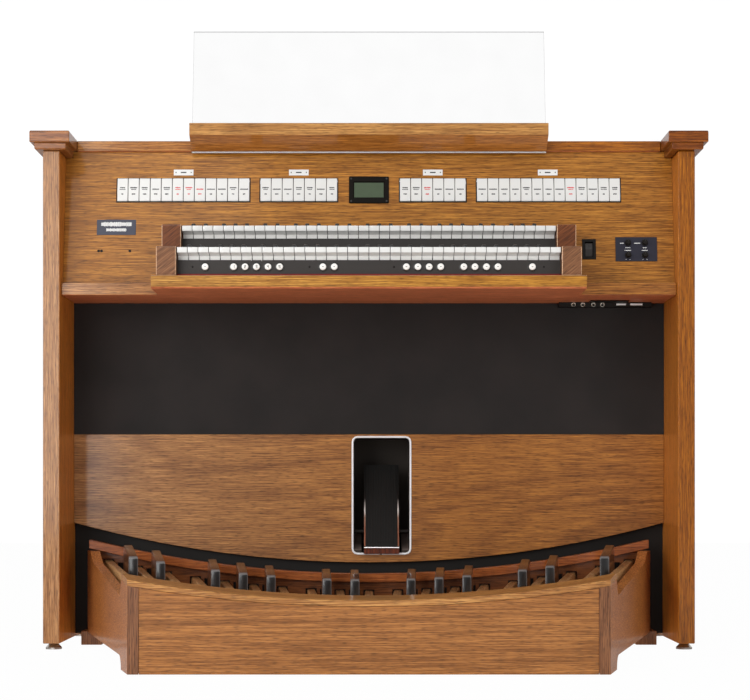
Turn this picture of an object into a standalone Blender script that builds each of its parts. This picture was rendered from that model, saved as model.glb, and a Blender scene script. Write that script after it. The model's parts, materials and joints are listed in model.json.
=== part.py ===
"""Two-manual electronic organ with a radiating, concave pedalboard.

Metres, +Z up. The player sits on the -Y side and faces +Y. Depths are measured from the
front plane of the two side panels, and the frame empty then centres the organ on the origin.
"""
import math

import bmesh
import bpy
from mathutils import Matrix, Vector

# Clearance kept between faces that touch on the real organ
GAP = 0.0003

# Case
CASE_HALF_WIDTH = 0.740
SIDE_THICKNESS = 0.038
CASE_DEPTH = 0.460
SIDE_HEIGHT = 1.119
EDGE_ROUND = 0.002

# Levelling feet
FOOT_CLEARANCE = 0.0145
FOOT_DISC_RADIUS = 0.0185
FOOT_DISC_HEIGHT = 0.004
FOOT_CONE_RADIUS = 0.009
FOOT_STEM_RADIUS = 0.004
FOOT_STEM_LENGTH = 0.022
FOOT_INSET = 0.035

# Caps on the side panels
CAP_STEP_HEIGHT = 0.0155
CAP_STEP_OVERHANG = 0.0165
CAP_SLAB_HEIGHT = 0.0256
CAP_SLAB_OVERHANG = 0.026

# Top board
TOP_THICKNESS = 0.0245
TOP_DROP = 0.0026
TOP_FRONT = 0.0859

# Leaning stop panel
STOP_HEAD_DEPTH = 0.092
STOP_FOOT_DEPTH = 0.045
STOP_THICKNESS = 0.018

# Shelf under the stop panel, and the key desk in front of it
SHELF_TOP = 0.836
SHELF_THICKNESS = 0.028
SHELF_FRONT = 0.020
DESK_DROP = 0.006
DESK_THICKNESS = 0.029
DESK_SIDE_MARGIN = 0.0097
DESK_FRONT = -0.177
DESK_ROUND = 0.009

# Knee side: grille, knee panel, toe panel and back
KNEE_PLANE = 0.200
GRILLE_FOOT = 0.496
GRILLE_THICKNESS = 0.016
KNEE_THICKNESS = 0.018
KNEE_ARC_RADIUS = 2.650
KNEE_ARC_DROP = 0.0164
TOE_RISE = 0.1384
TOE_FOOT = 0.022
TOE_THICKNESS = 0.015
BACK_THICKNESS = 0.012
BACK_INSET = 0.003
BACK_FOOT = 0.060

# Expression shoe and its housing
SHOE_CENTRE = 0.030
SHOE_TRIM_WIDTH = 0.146
SHOE_TRIM_HEAD_GAP = 0.002
SHOE_TRIM_HEIGHT = 0.286
SHOE_TRIM_BAND = 0.007
SHOE_TRIM_CORNER = 0.016
SHOE_TRIM_PROUD = 0.003
HOUSING_WALL = 0.003
HOUSING_DEPTH = 0.155
SHOE_WIDTH = 0.084
SHOE_LENGTH = 0.2196
SHOE_LEAN = 25.0
SHOE_HEEL_LIP = 0.014
SHOE_LIP_THICKNESS = 0.006
SHOE_SOLE_RADIUS = 0.0485
SHOE_TOE_THICKNESS = 0.012
SHOE_HEEL_FRONT = 0.188
SHOE_HEEL_RISE = 0.018
SHOE_PIVOT_DEPTH = 0.225
SHOE_PIVOT_RISE = 0.057
TREAD_WIDTH = 0.075
TREAD_THICKNESS = 0.003
TREAD_RIBS = 12
TREAD_RIB_HEIGHT = 0.0012
SHOE_RAMP_WIDTH = 0.018
SHOE_RAMP_RISE = 0.050
SHOE_RAMP_START = 0.006
SHOE_RAMP_CORNER = 0.007
SHOE_PIN_RADIUS = 0.005
PIN_CLEARANCE = 0.0003

# Manuals
NATURALS = 36
KEY_PITCH = 0.0233
KEY_GAP = 0.001
KEY_LIP = 0.012
KEY_LIP_RUN = 0.030
KEY_LIP_FALL = 0.0043
KEY_BODY_HEIGHT = 0.0263
LOWER_KEY_RISE = 0.0631
LOWER_KEY_SETBACK = 0.016
MANUAL_RISE = 0.0626
MANUAL_SETBACK = 0.108
KEY_LENGTH = 0.205
SHARP_SETBACK = 0.050
SHARP_LENGTH = 0.095
SHARP_WIDTH = 0.0105
SHARP_TOP_WIDTH = 0.0085
SHARP_HEIGHT = 0.0135
SHARP_SEAT = 0.004
SHARP_GAP = 0.0008
KEYBED_THICKNESS = 0.010
LOWER_KEYBED_DROP = 0.0391
UPPER_KEYBED_DROP = 0.0372
KEY_RAIL_LENGTH = 0.022
KEY_PIVOT_SETBACK = 0.190
KEY_UNDERCUT = 0.0006
KEYBED_LEAD = 0.004
KEYBED_FEET = 3
KEYBED_FOOT_SPREAD = 0.36
KEYBED_FOOT_WIDTH = 0.040
KEYBED_FOOT_FRONT = 0.045
KEYBED_FOOT_LENGTH = 0.120

# Slips and piston rail in front of the key bodies
PISTON_RAIL_HEIGHT = 0.0374
UPPER_SLIP_DROP = 0.0260
UPPER_SLIP_HEIGHT = 0.0219
SLIP_THICKNESS = 0.006
SLIP_SETBACK = 0.022

# Cheek blocks at the ends of the manuals
CHEEK_SIDE_GAP = 0.0011
CHEEK_WIDTH = 0.0435
CHEEK_LEAD = 0.005
CHEEK_ROUND = 0.004
LOWER_CHEEK_RISE = 0.0018
UPPER_CHEEK_RISE = 0.0024

# Thumb pistons; their places are counted in naturals from the middle of the manual
PISTON_RISE = 0.0225
PISTON_RADIUS = 0.0079
PISTON_PROUD = 0.0045
PISTON_TRAVEL = 0.0025
PISTON_HOLE_GAP = 0.0003
PISTON_PLACES = (-15.408, -12.725, -11.652, -10.579, -9.494, -8.399, -4.330, -3.258, 3.528,
                 4.614, 5.674, 6.760, 8.931, 9.979, 11.060, 12.142, 15.378)
MOVING_PISTONS = (3,)

# Rocker tabs in four banks: each bank's left edge, counted in tabs from the middle, and its tabs
TAB_PITCH = 0.02553
TAB_GAP = 0.0010
TAB_BANKS = ((-22.793, 12), (-9.843, 7), (2.781, 6), (9.753, 13))
TAB_DROP = 0.0636
TAB_HEIGHT = 0.0536
TAB_PROUD = 0.0040
TAB_THICKNESS = 0.0050
TAB_STEM_WIDTH = 0.010
TAB_STEM_HEIGHT = 0.014
TAB_SLOT_MARGIN = 0.0012
TAB_RAIL_HEIGHT = 0.030
TAB_RAIL_DEPTH = 0.012
TAB_RAIL_GAP = 0.012
TAB_RAIL_SIDE_MARGIN = 0.020
TAB_PIVOT_DEPTH = 0.008
TAB_SEAT_GAP = 0.0006
MOVING_TABS = ((0, 6), (3, 4))

# Display, rocker switch, control plate and knobs on the stop panel
DISPLAY_WIDTH = 0.0923
DISPLAY_HEIGHT = 0.0640
DISPLAY_DROP = 0.0906
DISPLAY_PROUD = 0.003
DISPLAY_WINDOW_WIDTH = 0.0686
DISPLAY_WINDOW_HEIGHT = 0.0360
DISPLAY_BODY_DEPTH = 0.020
SWITCH_PLACE = 0.17815
SWITCH_RISE = 0.0812
SWITCH_SHARE = 0.13277
SWITCH_HEIGHT = 0.0480
SWITCH_PROUD = 0.002
SWITCH_WALL = 0.0035
SWITCH_BODY_DEPTH = 0.026
ROCKER_SWING = 8.0
PLATE_PLACE = 0.63361
PLATE_RISE = 0.0809
PLATE_SHARE = 0.40126
PLATE_HEIGHT = 0.0571
PLATE_THICKNESS = 0.002
KNOB_SHARE = 0.40733
KNOB_SPACING_Z = 0.0290
KNOB_RADIUS = 0.0075
KNOB_HEIGHT = 0.012
KNOB_SHAFT_RADIUS = 0.003
KNOB_SHAFT_LENGTH = 0.012

# Connector panel under the shelf
JACK_PANEL_WIDTH = 0.218
JACK_PANEL_SIDE_GAP = 0.034
JACK_PANEL_FRONT = 0.172
JACK_PANEL_SLOPE = 0.006
JACK_PANEL_DROP = 0.011
JACK_RADIUS = 0.0042
JACK_LENGTH = 0.004
JACK_SETBACKS = (0.218, 0.196, 0.171, 0.150)

# Music desk
DESK_PANE_WIDTH = 0.8195
PANE_THICKNESS = 0.004
PANE_FRONT = 0.0760
PANE_FOOT_DROP = 0.0043
PANE_LENGTH = 0.298
PANE_LEAN = 10.4
LEDGE_WIDTH = 0.8199
LEDGE_FRONT = 0.022
LEDGE_RISE = 0.0293
LEDGE_FACE = 0.0274
LEDGE_FOOT_DROP = 0.0010

# Inside the case
SPEAKER_RADIUS = 0.095
SPEAKER_SPACING = 0.500
SPEAKER_DEPTH = 0.078
MAGNET_RADIUS = 0.045
CONE_DEPTH = 0.022
MODULE_WIDTH = 0.300
MODULE_HEIGHT = 0.180
MODULE_DEPTH = 0.060
MODULE_RISE = 0.144
MODULE_FINS = 12

# Pedalboard
PEDAL_NATURALS = 19
PEDAL_SIDE_MARGIN = 0.0464
PEDAL_ARC_RADIUS = 2.345
PEDAL_DISH_RADIUS = 2.650
SHARP_PEDAL_FRONT = -0.025
PEDAL_TOP = 0.127
PEDAL_WIDTH = 0.020
PEDAL_HEIGHT = 0.036
PEDAL_ROUND = 0.005
PEDAL_HEEL = -0.475
PEDAL_TOE = 0.172
PEDAL_SHARP_WIDTH = 0.0205
PEDAL_SHARP_RISE = 0.035
PEDAL_SHARP_CLIMB = 0.017
PEDAL_SHARP_SEAT = 0.004
STICK_DROP = 0.016
PEDAL_SHARP_LENGTH = 0.127
PEDAL_SHARP_ROUND = 0.003
PEDAL_SIDE_GAP = 0.003
HEEL_RAIL_FRONT = 0.015
HEEL_RAIL_BACK = 0.012
HEEL_RAIL_HEIGHT = 0.030
HEEL_RAIL_LAP = 0.005
HEEL_SEAT_GAP = 0.0005
BOARD_FRONT = -0.559
CHEEK_FAN_OFFSET = 0.00110345
BOARD_REAR = 0.160
BOARD_SIDE_GAP = 0.039
PEDAL_CHEEK_THICKNESS = 0.0226
CHEEK_STEP = 0.1486
CHEEK_WAIST = 0.191
CHEEK_WAIST_DEPTH = -0.014
CHEEK_STEP_DEPTH = -0.439
CHEEK_CREST_DEPTH = 0.100
CHEEK_FOOT_LENGTH = 0.099
CHEEK_CLEARANCE = 0.028
CHEEK_ARCH = 0.030
COVER_TOP = 0.1456
COVER_DEPTH = 0.092
COVER_RISE = 0.005
COVER_THICKNESS = 0.012
COVER_ARC_RADIUS = 2.770
FRONT_BOARD_THICKNESS = 0.020
FRONT_BOARD_INSET = 0.0012
REAR_RAIL_FRONT = 0.129
REAR_RAIL_DEPTH = 0.030
REAR_RAIL_HEIGHT = 0.020
REAR_RAIL_LIFT = 0.021
REAR_RAIL_RADIUS = 2.750
GUIDE_FRONT = 0.141
GUIDE_THICKNESS = 0.015
GUIDE_FOOT = 0.062
GUIDE_SLOT_SIDE = 0.003
GUIDE_SLOT_ABOVE = 0.003
GUIDE_SLOT_BELOW = 0.016
REAR_FOOT_WIDTH = 0.048
REAR_FOOT_FRONT = 0.144
MOVING_PEDALS = (8.5, 9.0)

# Levels and planes that follow from the sizes above
INNER_HALF = CASE_HALF_WIDTH - SIDE_THICKNESS
SIDE_TOP = FOOT_CLEARANCE + SIDE_HEIGHT
CAP_TOP = SIDE_TOP + CAP_STEP_HEIGHT + CAP_SLAB_HEIGHT
TOP_LEVEL = CAP_TOP - TOP_DROP
TOP_UNDERSIDE = TOP_LEVEL - TOP_THICKNESS
SHELF_UNDERSIDE = SHELF_TOP - SHELF_THICKNESS
BACK_FACE = CASE_DEPTH - BACK_INSET - BACK_THICKNESS
DESK_TOP = SHELF_TOP - DESK_DROP
LOWER_KEY_TOP = DESK_TOP + LOWER_KEY_RISE
LOWER_KEY_FRONT = DESK_FRONT + LOWER_KEY_SETBACK
UPPER_KEY_TOP = LOWER_KEY_TOP + MANUAL_RISE
UPPER_KEY_FRONT = LOWER_KEY_FRONT + MANUAL_SETBACK
CHEEK_INNER = NATURALS * KEY_PITCH / 2 + CHEEK_SIDE_GAP
CHEEK_OUTER = CHEEK_INNER + CHEEK_WIDTH
LOWER_CHEEK_TOP = LOWER_KEY_TOP + LOWER_CHEEK_RISE
UPPER_CHEEK_TOP = UPPER_KEY_TOP + UPPER_CHEEK_RISE
PISTON_LEVEL = DESK_TOP + PISTON_RISE
TAB_HEAD = TOP_UNDERSIDE - TAB_DROP
TAB_LEVEL = TAB_HEAD - TAB_HEIGHT / 2
DISPLAY_LEVEL = TOP_UNDERSIDE - DISPLAY_DROP
SWITCH_LEVEL = SHELF_TOP + SWITCH_RISE
PLATE_LEVEL = SHELF_TOP + PLATE_RISE
PANE_FOOT = TOP_UNDERSIDE - PANE_FOOT_DROP
LEDGE_TOP = TOP_LEVEL + LEDGE_RISE
LEDGE_FOOT = TOP_UNDERSIDE - LEDGE_FOOT_DROP
STOP_LEAN = math.atan2(STOP_HEAD_DEPTH - STOP_FOOT_DEPTH, TOP_UNDERSIDE - SHELF_TOP)
SHOE_TRIM_BOTTOM = GRILLE_FOOT - SHOE_TRIM_HEAD_GAP - SHOE_TRIM_HEIGHT
SHOE_HEEL_LEVEL = SHOE_TRIM_BOTTOM + SHOE_HEEL_RISE
SHOE_PIVOT_LEVEL = SHOE_TRIM_BOTTOM + SHOE_PIVOT_RISE
KNEE_ARC_BOTTOM = SHOE_TRIM_BOTTOM - KNEE_ARC_DROP
TOE_TOP = KNEE_ARC_BOTTOM + TOE_RISE
PEDAL_CENTRE = SHARP_PEDAL_FRONT - PEDAL_ARC_RADIUS
BOARD_REAR_HALF = INNER_HALF - BOARD_SIDE_GAP
# The cheeks flare with the pedals: their outer faces meet just behind the fan's centre
CHEEK_CENTRE = PEDAL_CENTRE + CHEEK_FAN_OFFSET
BOARD_FRONT_HALF = (BOARD_REAR_HALF * (BOARD_FRONT - CHEEK_CENTRE)
                    / (BOARD_REAR - CHEEK_CENTRE))
REAR_RAIL_BOTTOM = PEDAL_TOP + REAR_RAIL_LIFT
COVER_REAR = BOARD_FRONT + COVER_DEPTH

# The switch, the plate and its knobs share the bay between the key cheeks and the side panel
BAY_WIDTH = INNER_HALF - CHEEK_OUTER
SWITCH_X = CHEEK_OUTER + SWITCH_PLACE * BAY_WIDTH
SWITCH_WIDTH = SWITCH_SHARE * BAY_WIDTH
PLATE_X = CHEEK_OUTER + PLATE_PLACE * BAY_WIDTH
PLATE_WIDTH = PLATE_SHARE * BAY_WIDTH
KNOB_SPACING_X = KNOB_SHARE * PLATE_WIDTH

# The pedals share the board's width: tangent of the angle from one natural to the next
PEDAL_FAN = ((BOARD_REAR_HALF - PEDAL_SIDE_MARGIN) / (PEDAL_TOE - PEDAL_CENTRE)
             / ((PEDAL_NATURALS - 1) / 2))
FRAME_SHIFT = -(BOARD_FRONT + CASE_DEPTH) / 2

# Which steps of the octave have a sharp after them, for a compass that starts on C
SHARP_AFTER = (0, 1, 3, 4, 5)


def clear_scene():
    for obj in list(bpy.data.objects):
        bpy.data.objects.remove(obj, do_unlink=True)


def make_material(name, colour, roughness, metallic=0.0, alpha=1.0):
    material = bpy.data.materials.new(name)
    material.use_nodes = True
    shader = material.node_tree.nodes["Principled BSDF"]
    shader.inputs["Base Color"].default_value = (*colour, 1.0)
    shader.inputs["Roughness"].default_value = roughness
    shader.inputs["Metallic"].default_value = metallic
    shader.inputs["Alpha"].default_value = alpha
    return material


def make_materials():
    return {
        "oak": make_material("oak", (0.38, 0.19, 0.075), 0.45),
        "dark_oak": make_material("dark_oak", (0.20, 0.075, 0.028), 0.40),
        "ash": make_material("ash", (0.66, 0.44, 0.24), 0.45),
        "key_white": make_material("key_white", (0.86, 0.85, 0.82), 0.25),
        "black": make_material("black", (0.018, 0.016, 0.015), 0.50),
        "charcoal": make_material("charcoal", (0.055, 0.052, 0.050), 0.55),
        "cloth": make_material("cloth", (0.016, 0.013, 0.012), 0.90),
        "chrome": make_material("chrome", (0.75, 0.75, 0.76), 0.20, 1.0),
        "steel": make_material("steel", (0.55, 0.55, 0.56), 0.35, 1.0),
        "acrylic": make_material("acrylic", (0.95, 0.96, 0.97), 0.05, 0.0, 0.25),
        "fibreboard": make_material("fibreboard", (0.23, 0.15, 0.09), 0.80),
    }


def add_object(name, bm, material, location=(0, 0, 0), rotation=(0, 0, 0), smooth=None):
    """Turn a bmesh into a named object that hangs on the frame empty."""
    bmesh.ops.recalc_face_normals(bm, faces=bm.faces)
    mesh = bpy.data.meshes.new(name)
    bm.to_mesh(mesh)
    bm.free()
    if smooth is not None:
        mesh.shade_smooth()
        mesh.set_sharp_from_angle(angle=math.radians(smooth))
    obj = bpy.data.objects.new(name, mesh)
    bpy.context.scene.collection.objects.link(obj)
    obj.data.materials.append(material)
    obj.location = location
    obj.rotation_euler = rotation
    obj.parent = bpy.data.objects["organ_frame"]
    return obj


def add_bevel(obj, width, segments=2, angle=40.0):
    bevel = obj.modifiers.new("edge_round", "BEVEL")
    bevel.width = width
    bevel.segments = segments
    bevel.limit_method = "ANGLE"
    bevel.angle_limit = math.radians(angle)
    return obj


def combine(obj, tool_bm, operation, location=(0, 0, 0), rotation=(0, 0, 0)):
    """Cut or join a hidden tool body into an object."""
    tool = add_object(obj.name + "_tool", tool_bm, obj.data.materials[0], location, rotation)
    tool.hide_render = True
    tool.display_type = "WIRE"
    boolean = obj.modifiers.new(operation.lower(), "BOOLEAN")
    boolean.operation = operation
    boolean.solver = "EXACT"
    boolean.object = tool
    return obj


def cut(obj, tool_bm, location=(0, 0, 0), rotation=(0, 0, 0)):
    return combine(obj, tool_bm, "DIFFERENCE", location, rotation)


def fuse(obj, tool_bm, location=(0, 0, 0), rotation=(0, 0, 0)):
    return combine(obj, tool_bm, "UNION", location, rotation)


def box(low, high, bm=None, matrix=None):
    """A box between two corners, added to a bmesh."""
    bm = bm or bmesh.new()
    size = [high[i] - low[i] for i in range(3)]
    middle = [(high[i] + low[i]) / 2 for i in range(3)]
    placed = Matrix.Translation(middle) @ Matrix.Diagonal((*size, 1.0))
    bmesh.ops.create_cube(bm, size=1.0, matrix=(matrix or Matrix()) @ placed)
    return bm


def loft(rings, bm=None, closed=False):
    """Skin a list of rings of points; the ends are capped unless the loft closes on itself."""
    bm = bm or bmesh.new()
    loops = [[bm.verts.new(point) for point in ring] for ring in rings]
    pairs = list(zip(loops, loops[1:]))
    if closed:
        pairs.append((loops[-1], loops[0]))
    for first, second in pairs:
        for i in range(len(first)):
            j = (i + 1) % len(first)
            bm.faces.new((first[i], first[j], second[j], second[i]))
    if not closed:
        bm.faces.new(loops[0][::-1])
        bm.faces.new(loops[-1])
    return bm


def slab_x(outline, low, high, bm=None):
    """Extrude an outline of (y, z) points along X."""
    return loft([[(x, y, z) for y, z in outline] for x in (low, high)], bm)


def slab_y(outline, low, high, bm=None):
    """Extrude an outline of (x, z) points along Y."""
    return loft([[(x, y, z) for x, z in outline] for y in (low, high)], bm)


def lathe(profile, segments, bm=None, matrix=None):
    """Turn a profile of (radius, z) points about Z; its ends on the axis close the body."""
    bm = bm or bmesh.new()
    matrix = matrix or Matrix()
    rings = []
    for step in range(segments):
        angle = 2 * math.pi * step / segments
        ring = [(r * math.cos(angle), r * math.sin(angle), z) for r, z in profile if r > 0]
        rings.append([bm.verts.new(matrix @ Vector(point)) for point in ring])
    for step in range(segments):
        first, second = rings[step], rings[(step + 1) % segments]
        for i in range(len(first) - 1):
            bm.faces.new((first[i], second[i], second[i + 1], first[i + 1]))
    bm.faces.new([ring[0] for ring in rings][::-1])
    bm.faces.new([ring[-1] for ring in rings])
    return bm


def rounded_rectangle(width, height, corner, segments=4, centre=(0, 0)):
    """Outline points of a rectangle with round corners, anticlockwise."""
    points = []
    for index, (sx, sz) in enumerate(((1, 1), (-1, 1), (-1, -1), (1, -1))):
        cx = centre[0] + sx * (width / 2 - corner)
        cz = centre[1] + sz * (height / 2 - corner)
        for step in range(segments + 1):
            angle = math.pi / 2 * (index + step / segments)
            points.append((cx + corner * math.cos(angle), cz + corner * math.sin(angle)))
    return points


def arc_points(centre, radius, start, end, segments):
    """Points of an arc in a plane, between two angles in degrees."""
    points = []
    for step in range(segments + 1):
        angle = math.radians(start + (end - start) * step / segments)
        points.append((centre[0] + radius * math.cos(angle), centre[1] + radius * math.sin(angle)))
    return points


def stop_depth(level):
    """Depth of the stop panel's front face at a level above the floor."""
    return STOP_FOOT_DEPTH + (level - SHELF_TOP) * math.tan(STOP_LEAN)


def stop_matrix(x, level):
    """Local frame on the stop panel: X across, Y into the panel, Z up along it."""
    place = Matrix.Translation((x, stop_depth(level), level))
    return place @ Matrix.Rotation(-STOP_LEAN, 4, "X")


def place_on_stop_panel(obj, x, level):
    obj.location = (x, stop_depth(level), level)
    obj.rotation_euler = (-STOP_LEAN, 0, 0)


def build_side_panels(materials):
    for name, side in (("left_side_panel", -1), ("right_side_panel", 1)):
        inner, outer = sorted((side * INNER_HALF, side * CASE_HALF_WIDTH))
        bm = box((inner, 0, FOOT_CLEARANCE), (outer, CASE_DEPTH, SIDE_TOP - GAP))
        panel = add_bevel(add_object(name, bm, materials["oak"]), EDGE_ROUND)
        sockets = bmesh.new()
        for depth in (FOOT_INSET, CASE_DEPTH - FOOT_INSET):
            place = Matrix.Translation((side * (INNER_HALF + SIDE_THICKNESS / 2), depth, 0))
            hole = FOOT_STEM_RADIUS + GAP
            top = FOOT_CLEARANCE + FOOT_STEM_LENGTH + GAP
            lathe([(hole, FOOT_CLEARANCE - 0.01), (hole, top)], 12, sockets, place)
        cut(panel, sockets)


def build_feet(materials):
    """Screw-in glides: a light disc, a dark cone and the stem that enters the side panel."""
    cone = FOOT_CLEARANCE - 2 * GAP
    profile = [
        (FOOT_DISC_RADIUS, 0.0),
        (FOOT_DISC_RADIUS, FOOT_DISC_HEIGHT),
        (FOOT_CONE_RADIUS, cone),
        (FOOT_STEM_RADIUS, cone),
        (FOOT_STEM_RADIUS, FOOT_CLEARANCE + FOOT_STEM_LENGTH - GAP),
    ]
    for side_name, side in (("left", -1), ("right", 1)):
        for end_name, depth in (("front", FOOT_INSET), ("rear", CASE_DEPTH - FOOT_INSET)):
            place = (side * (INNER_HALF + SIDE_THICKNESS / 2), depth, 0)
            name = f"{end_name}_{side_name}_foot"
            add_object(name, lathe(profile, 14), materials["steel"], place, smooth=35)


def build_caps(materials):
    """Moulded caps: a stepped moulding under a thicker slab, round all but the back."""
    def ring(overhang, level, side):
        inner = side * (INNER_HALF - overhang)
        outer = side * (CASE_HALF_WIDTH + overhang)
        return [(inner, -overhang, level), (outer, -overhang, level),
                (outer, CASE_DEPTH, level), (inner, CASE_DEPTH, level)]

    step_top = SIDE_TOP + CAP_STEP_HEIGHT
    chamfer = 0.002
    for name, side in (("left_cap", -1), ("right_cap", 1)):
        rings = [
            ring(CAP_STEP_OVERHANG - chamfer, SIDE_TOP, side),
            ring(CAP_STEP_OVERHANG, SIDE_TOP + chamfer, side),
            ring(CAP_STEP_OVERHANG, TOP_UNDERSIDE + GAP, side),
            ring(CAP_STEP_OVERHANG + 2 * chamfer, step_top - GAP, side),
            ring(CAP_SLAB_OVERHANG, step_top, side),
            ring(CAP_SLAB_OVERHANG, CAP_TOP - chamfer, side),
            ring(CAP_SLAB_OVERHANG - chamfer, CAP_TOP, side),
        ]
        add_object(name, loft(rings), materials["oak"])


def build_top_panel(materials):
    half = INNER_HALF - CAP_SLAB_OVERHANG - GAP
    bm = box((-half, TOP_FRONT, TOP_UNDERSIDE + GAP), (half, CASE_DEPTH, TOP_LEVEL))
    add_bevel(add_object("top_panel", bm, materials["oak"]), EDGE_ROUND)


def tab_sites():
    """Bank number, place in the bank and centre across the panel of every tab."""
    for bank, (start, count) in enumerate(TAB_BANKS):
        for index in range(count):
            yield bank, index, (start + index + 0.5) * TAB_PITCH


def tab_length():
    """Length of a tab along the leaning panel."""
    return TAB_HEIGHT / math.cos(STOP_LEAN)


def build_stop_panel(materials):
    """The leaning panel, notched under the caps and open for keys, tabs, display and controls."""
    half = INNER_HALF - GAP
    notch = INNER_HALF - CAP_STEP_OVERHANG - GAP
    keys = CHEEK_INNER
    key_head = UPPER_KEY_TOP + SHARP_HEIGHT + 0.003
    outline = [(-half, SHELF_TOP + GAP), (-keys, SHELF_TOP + GAP), (-keys, key_head),
               (keys, key_head), (keys, SHELF_TOP + GAP), (half, SHELF_TOP + GAP),
               (half, SIDE_TOP - GAP), (notch, SIDE_TOP - GAP), (notch, TOP_UNDERSIDE),
               (-notch, TOP_UNDERSIDE), (-notch, SIDE_TOP - GAP), (-half, SIDE_TOP - GAP)]
    thickness = STOP_THICKNESS / math.cos(STOP_LEAN)
    rings = [[(x, stop_depth(z) + back, z) for x, z in outline] for back in (0, thickness)]
    panel = add_object("stop_panel", loft(rings), materials["oak"])
    tools = bmesh.new()
    reach = STOP_THICKNESS * 2
    slot = tab_length() / 2 + TAB_SLOT_MARGIN
    for start, count in TAB_BANKS:
        low = (-TAB_SLOT_MARGIN, -reach, -slot)
        high = (count * TAB_PITCH + TAB_SLOT_MARGIN, reach, slot)
        box(low, high, tools, stop_matrix(start * TAB_PITCH, TAB_LEVEL))
    width = DISPLAY_WINDOW_WIDTH / 2 + GAP + 0.003
    height = DISPLAY_WINDOW_HEIGHT / 2 + GAP + 0.003
    box((-width, -reach, -height), (width, reach, height), tools, stop_matrix(0, DISPLAY_LEVEL))
    width = SWITCH_WIDTH / 2 - 0.003 + GAP
    height = SWITCH_HEIGHT / 2 - 0.003 + GAP
    place = stop_matrix(SWITCH_X, SWITCH_LEVEL)
    box((-width, -reach, -height), (width, reach, height), tools, place)
    for x, level in knob_sites():
        turned = stop_matrix(x, level) @ Matrix.Rotation(math.pi / 2, 4, "X")
        hole = KNOB_SHAFT_RADIUS + 2 * GAP
        lathe([(hole, -reach), (hole, reach)], 12, tools, turned)
    cut(panel, tools)


def knob_sites():
    for row in (0.5, -0.5):
        for column in (-0.5, 0.5):
            yield PLATE_X + column * KNOB_SPACING_X, PLATE_LEVEL + row * KNOB_SPACING_Z


def build_shelf(materials):
    """The board that closes the upper case, with a rounded front, and the key desk before it."""
    half = INNER_HALF - GAP
    bm = box((-half, SHELF_FRONT, SHELF_UNDERSIDE), (half, BACK_FACE - GAP, SHELF_TOP))
    add_bevel(add_object("shelf_board", bm, materials["oak"]), EDGE_ROUND)
    bottom = DESK_TOP - DESK_THICKNESS
    top_round = 0.003
    centre = (DESK_FRONT + DESK_ROUND, bottom + DESK_ROUND)
    outline = [(SHELF_FRONT - GAP, DESK_TOP), (DESK_FRONT + top_round, DESK_TOP),
               (DESK_FRONT, DESK_TOP - top_round)]
    outline += arc_points(centre, DESK_ROUND, 180, 270, 5)
    outline += [(SHELF_FRONT - GAP, bottom)]
    half = CHEEK_OUTER + DESK_SIDE_MARGIN
    add_object("key_desk", slab_x(outline, -half, half), materials["oak"], smooth=35)


def knee_arc(x, lift=0.0):
    """Level of the knee panel's arched lower edge at a place across the case."""
    rise = KNEE_ARC_RADIUS - math.sqrt(KNEE_ARC_RADIUS ** 2 - x ** 2)
    return KNEE_ARC_BOTTOM + rise + lift


def housing_opening():
    """Width and height inside the expression shoe's trim, and the level of its middle."""
    width = SHOE_TRIM_WIDTH - 2 * SHOE_TRIM_BAND
    height = SHOE_TRIM_HEIGHT - 2 * SHOE_TRIM_BAND
    return width, height, SHOE_TRIM_BOTTOM + SHOE_TRIM_HEIGHT / 2


def housing_outline(grow, segments=5):
    width, height, level = housing_opening()
    corner = SHOE_TRIM_CORNER - SHOE_TRIM_BAND + grow
    return rounded_rectangle(width + 2 * grow, height + 2 * grow, corner, segments,
                             (SHOE_CENTRE, level))


def build_knee_side(materials):
    half = INNER_HALF - GAP
    low = (-half, KNEE_PLANE, GRILLE_FOOT + GAP)
    high = (half, KNEE_PLANE + GRILLE_THICKNESS, SHELF_UNDERSIDE - GAP)
    add_object("speaker_grille", box(low, high), materials["cloth"])

    steps = 28
    arc = [(-half + 2 * half * i / steps) for i in range(steps + 1)]
    outline = [(x, knee_arc(x)) for x in arc] + [(half, GRILLE_FOOT), (-half, GRILLE_FOOT)]
    rear = KNEE_PLANE + KNEE_THICKNESS
    knee = add_object("knee_panel", slab_y(outline, KNEE_PLANE, rear), materials["oak"])
    cut(knee, slab_y(housing_outline(HOUSING_WALL + GAP), KNEE_PLANE - 0.01, rear + 0.01))

    front = rear + GAP
    toe = box((-half, front, TOE_FOOT), (half, front + TOE_THICKNESS, TOE_TOP))
    toe = add_object("toe_panel", toe, materials["black"])
    bite = housing_opening()[0] / 2 + HOUSING_WALL + GAP
    floor = SHOE_TRIM_BOTTOM + SHOE_TRIM_BAND - HOUSING_WALL - GAP
    cut(toe, box((SHOE_CENTRE - bite, front - 0.01, floor),
                 (SHOE_CENTRE + bite, front + TOE_THICKNESS + 0.01, TOE_TOP + 0.01)))

    back = box((-half, BACK_FACE, BACK_FOOT), (half, BACK_FACE + BACK_THICKNESS, SIDE_TOP - GAP))
    add_object("back_panel", back, materials["fibreboard"])


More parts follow.
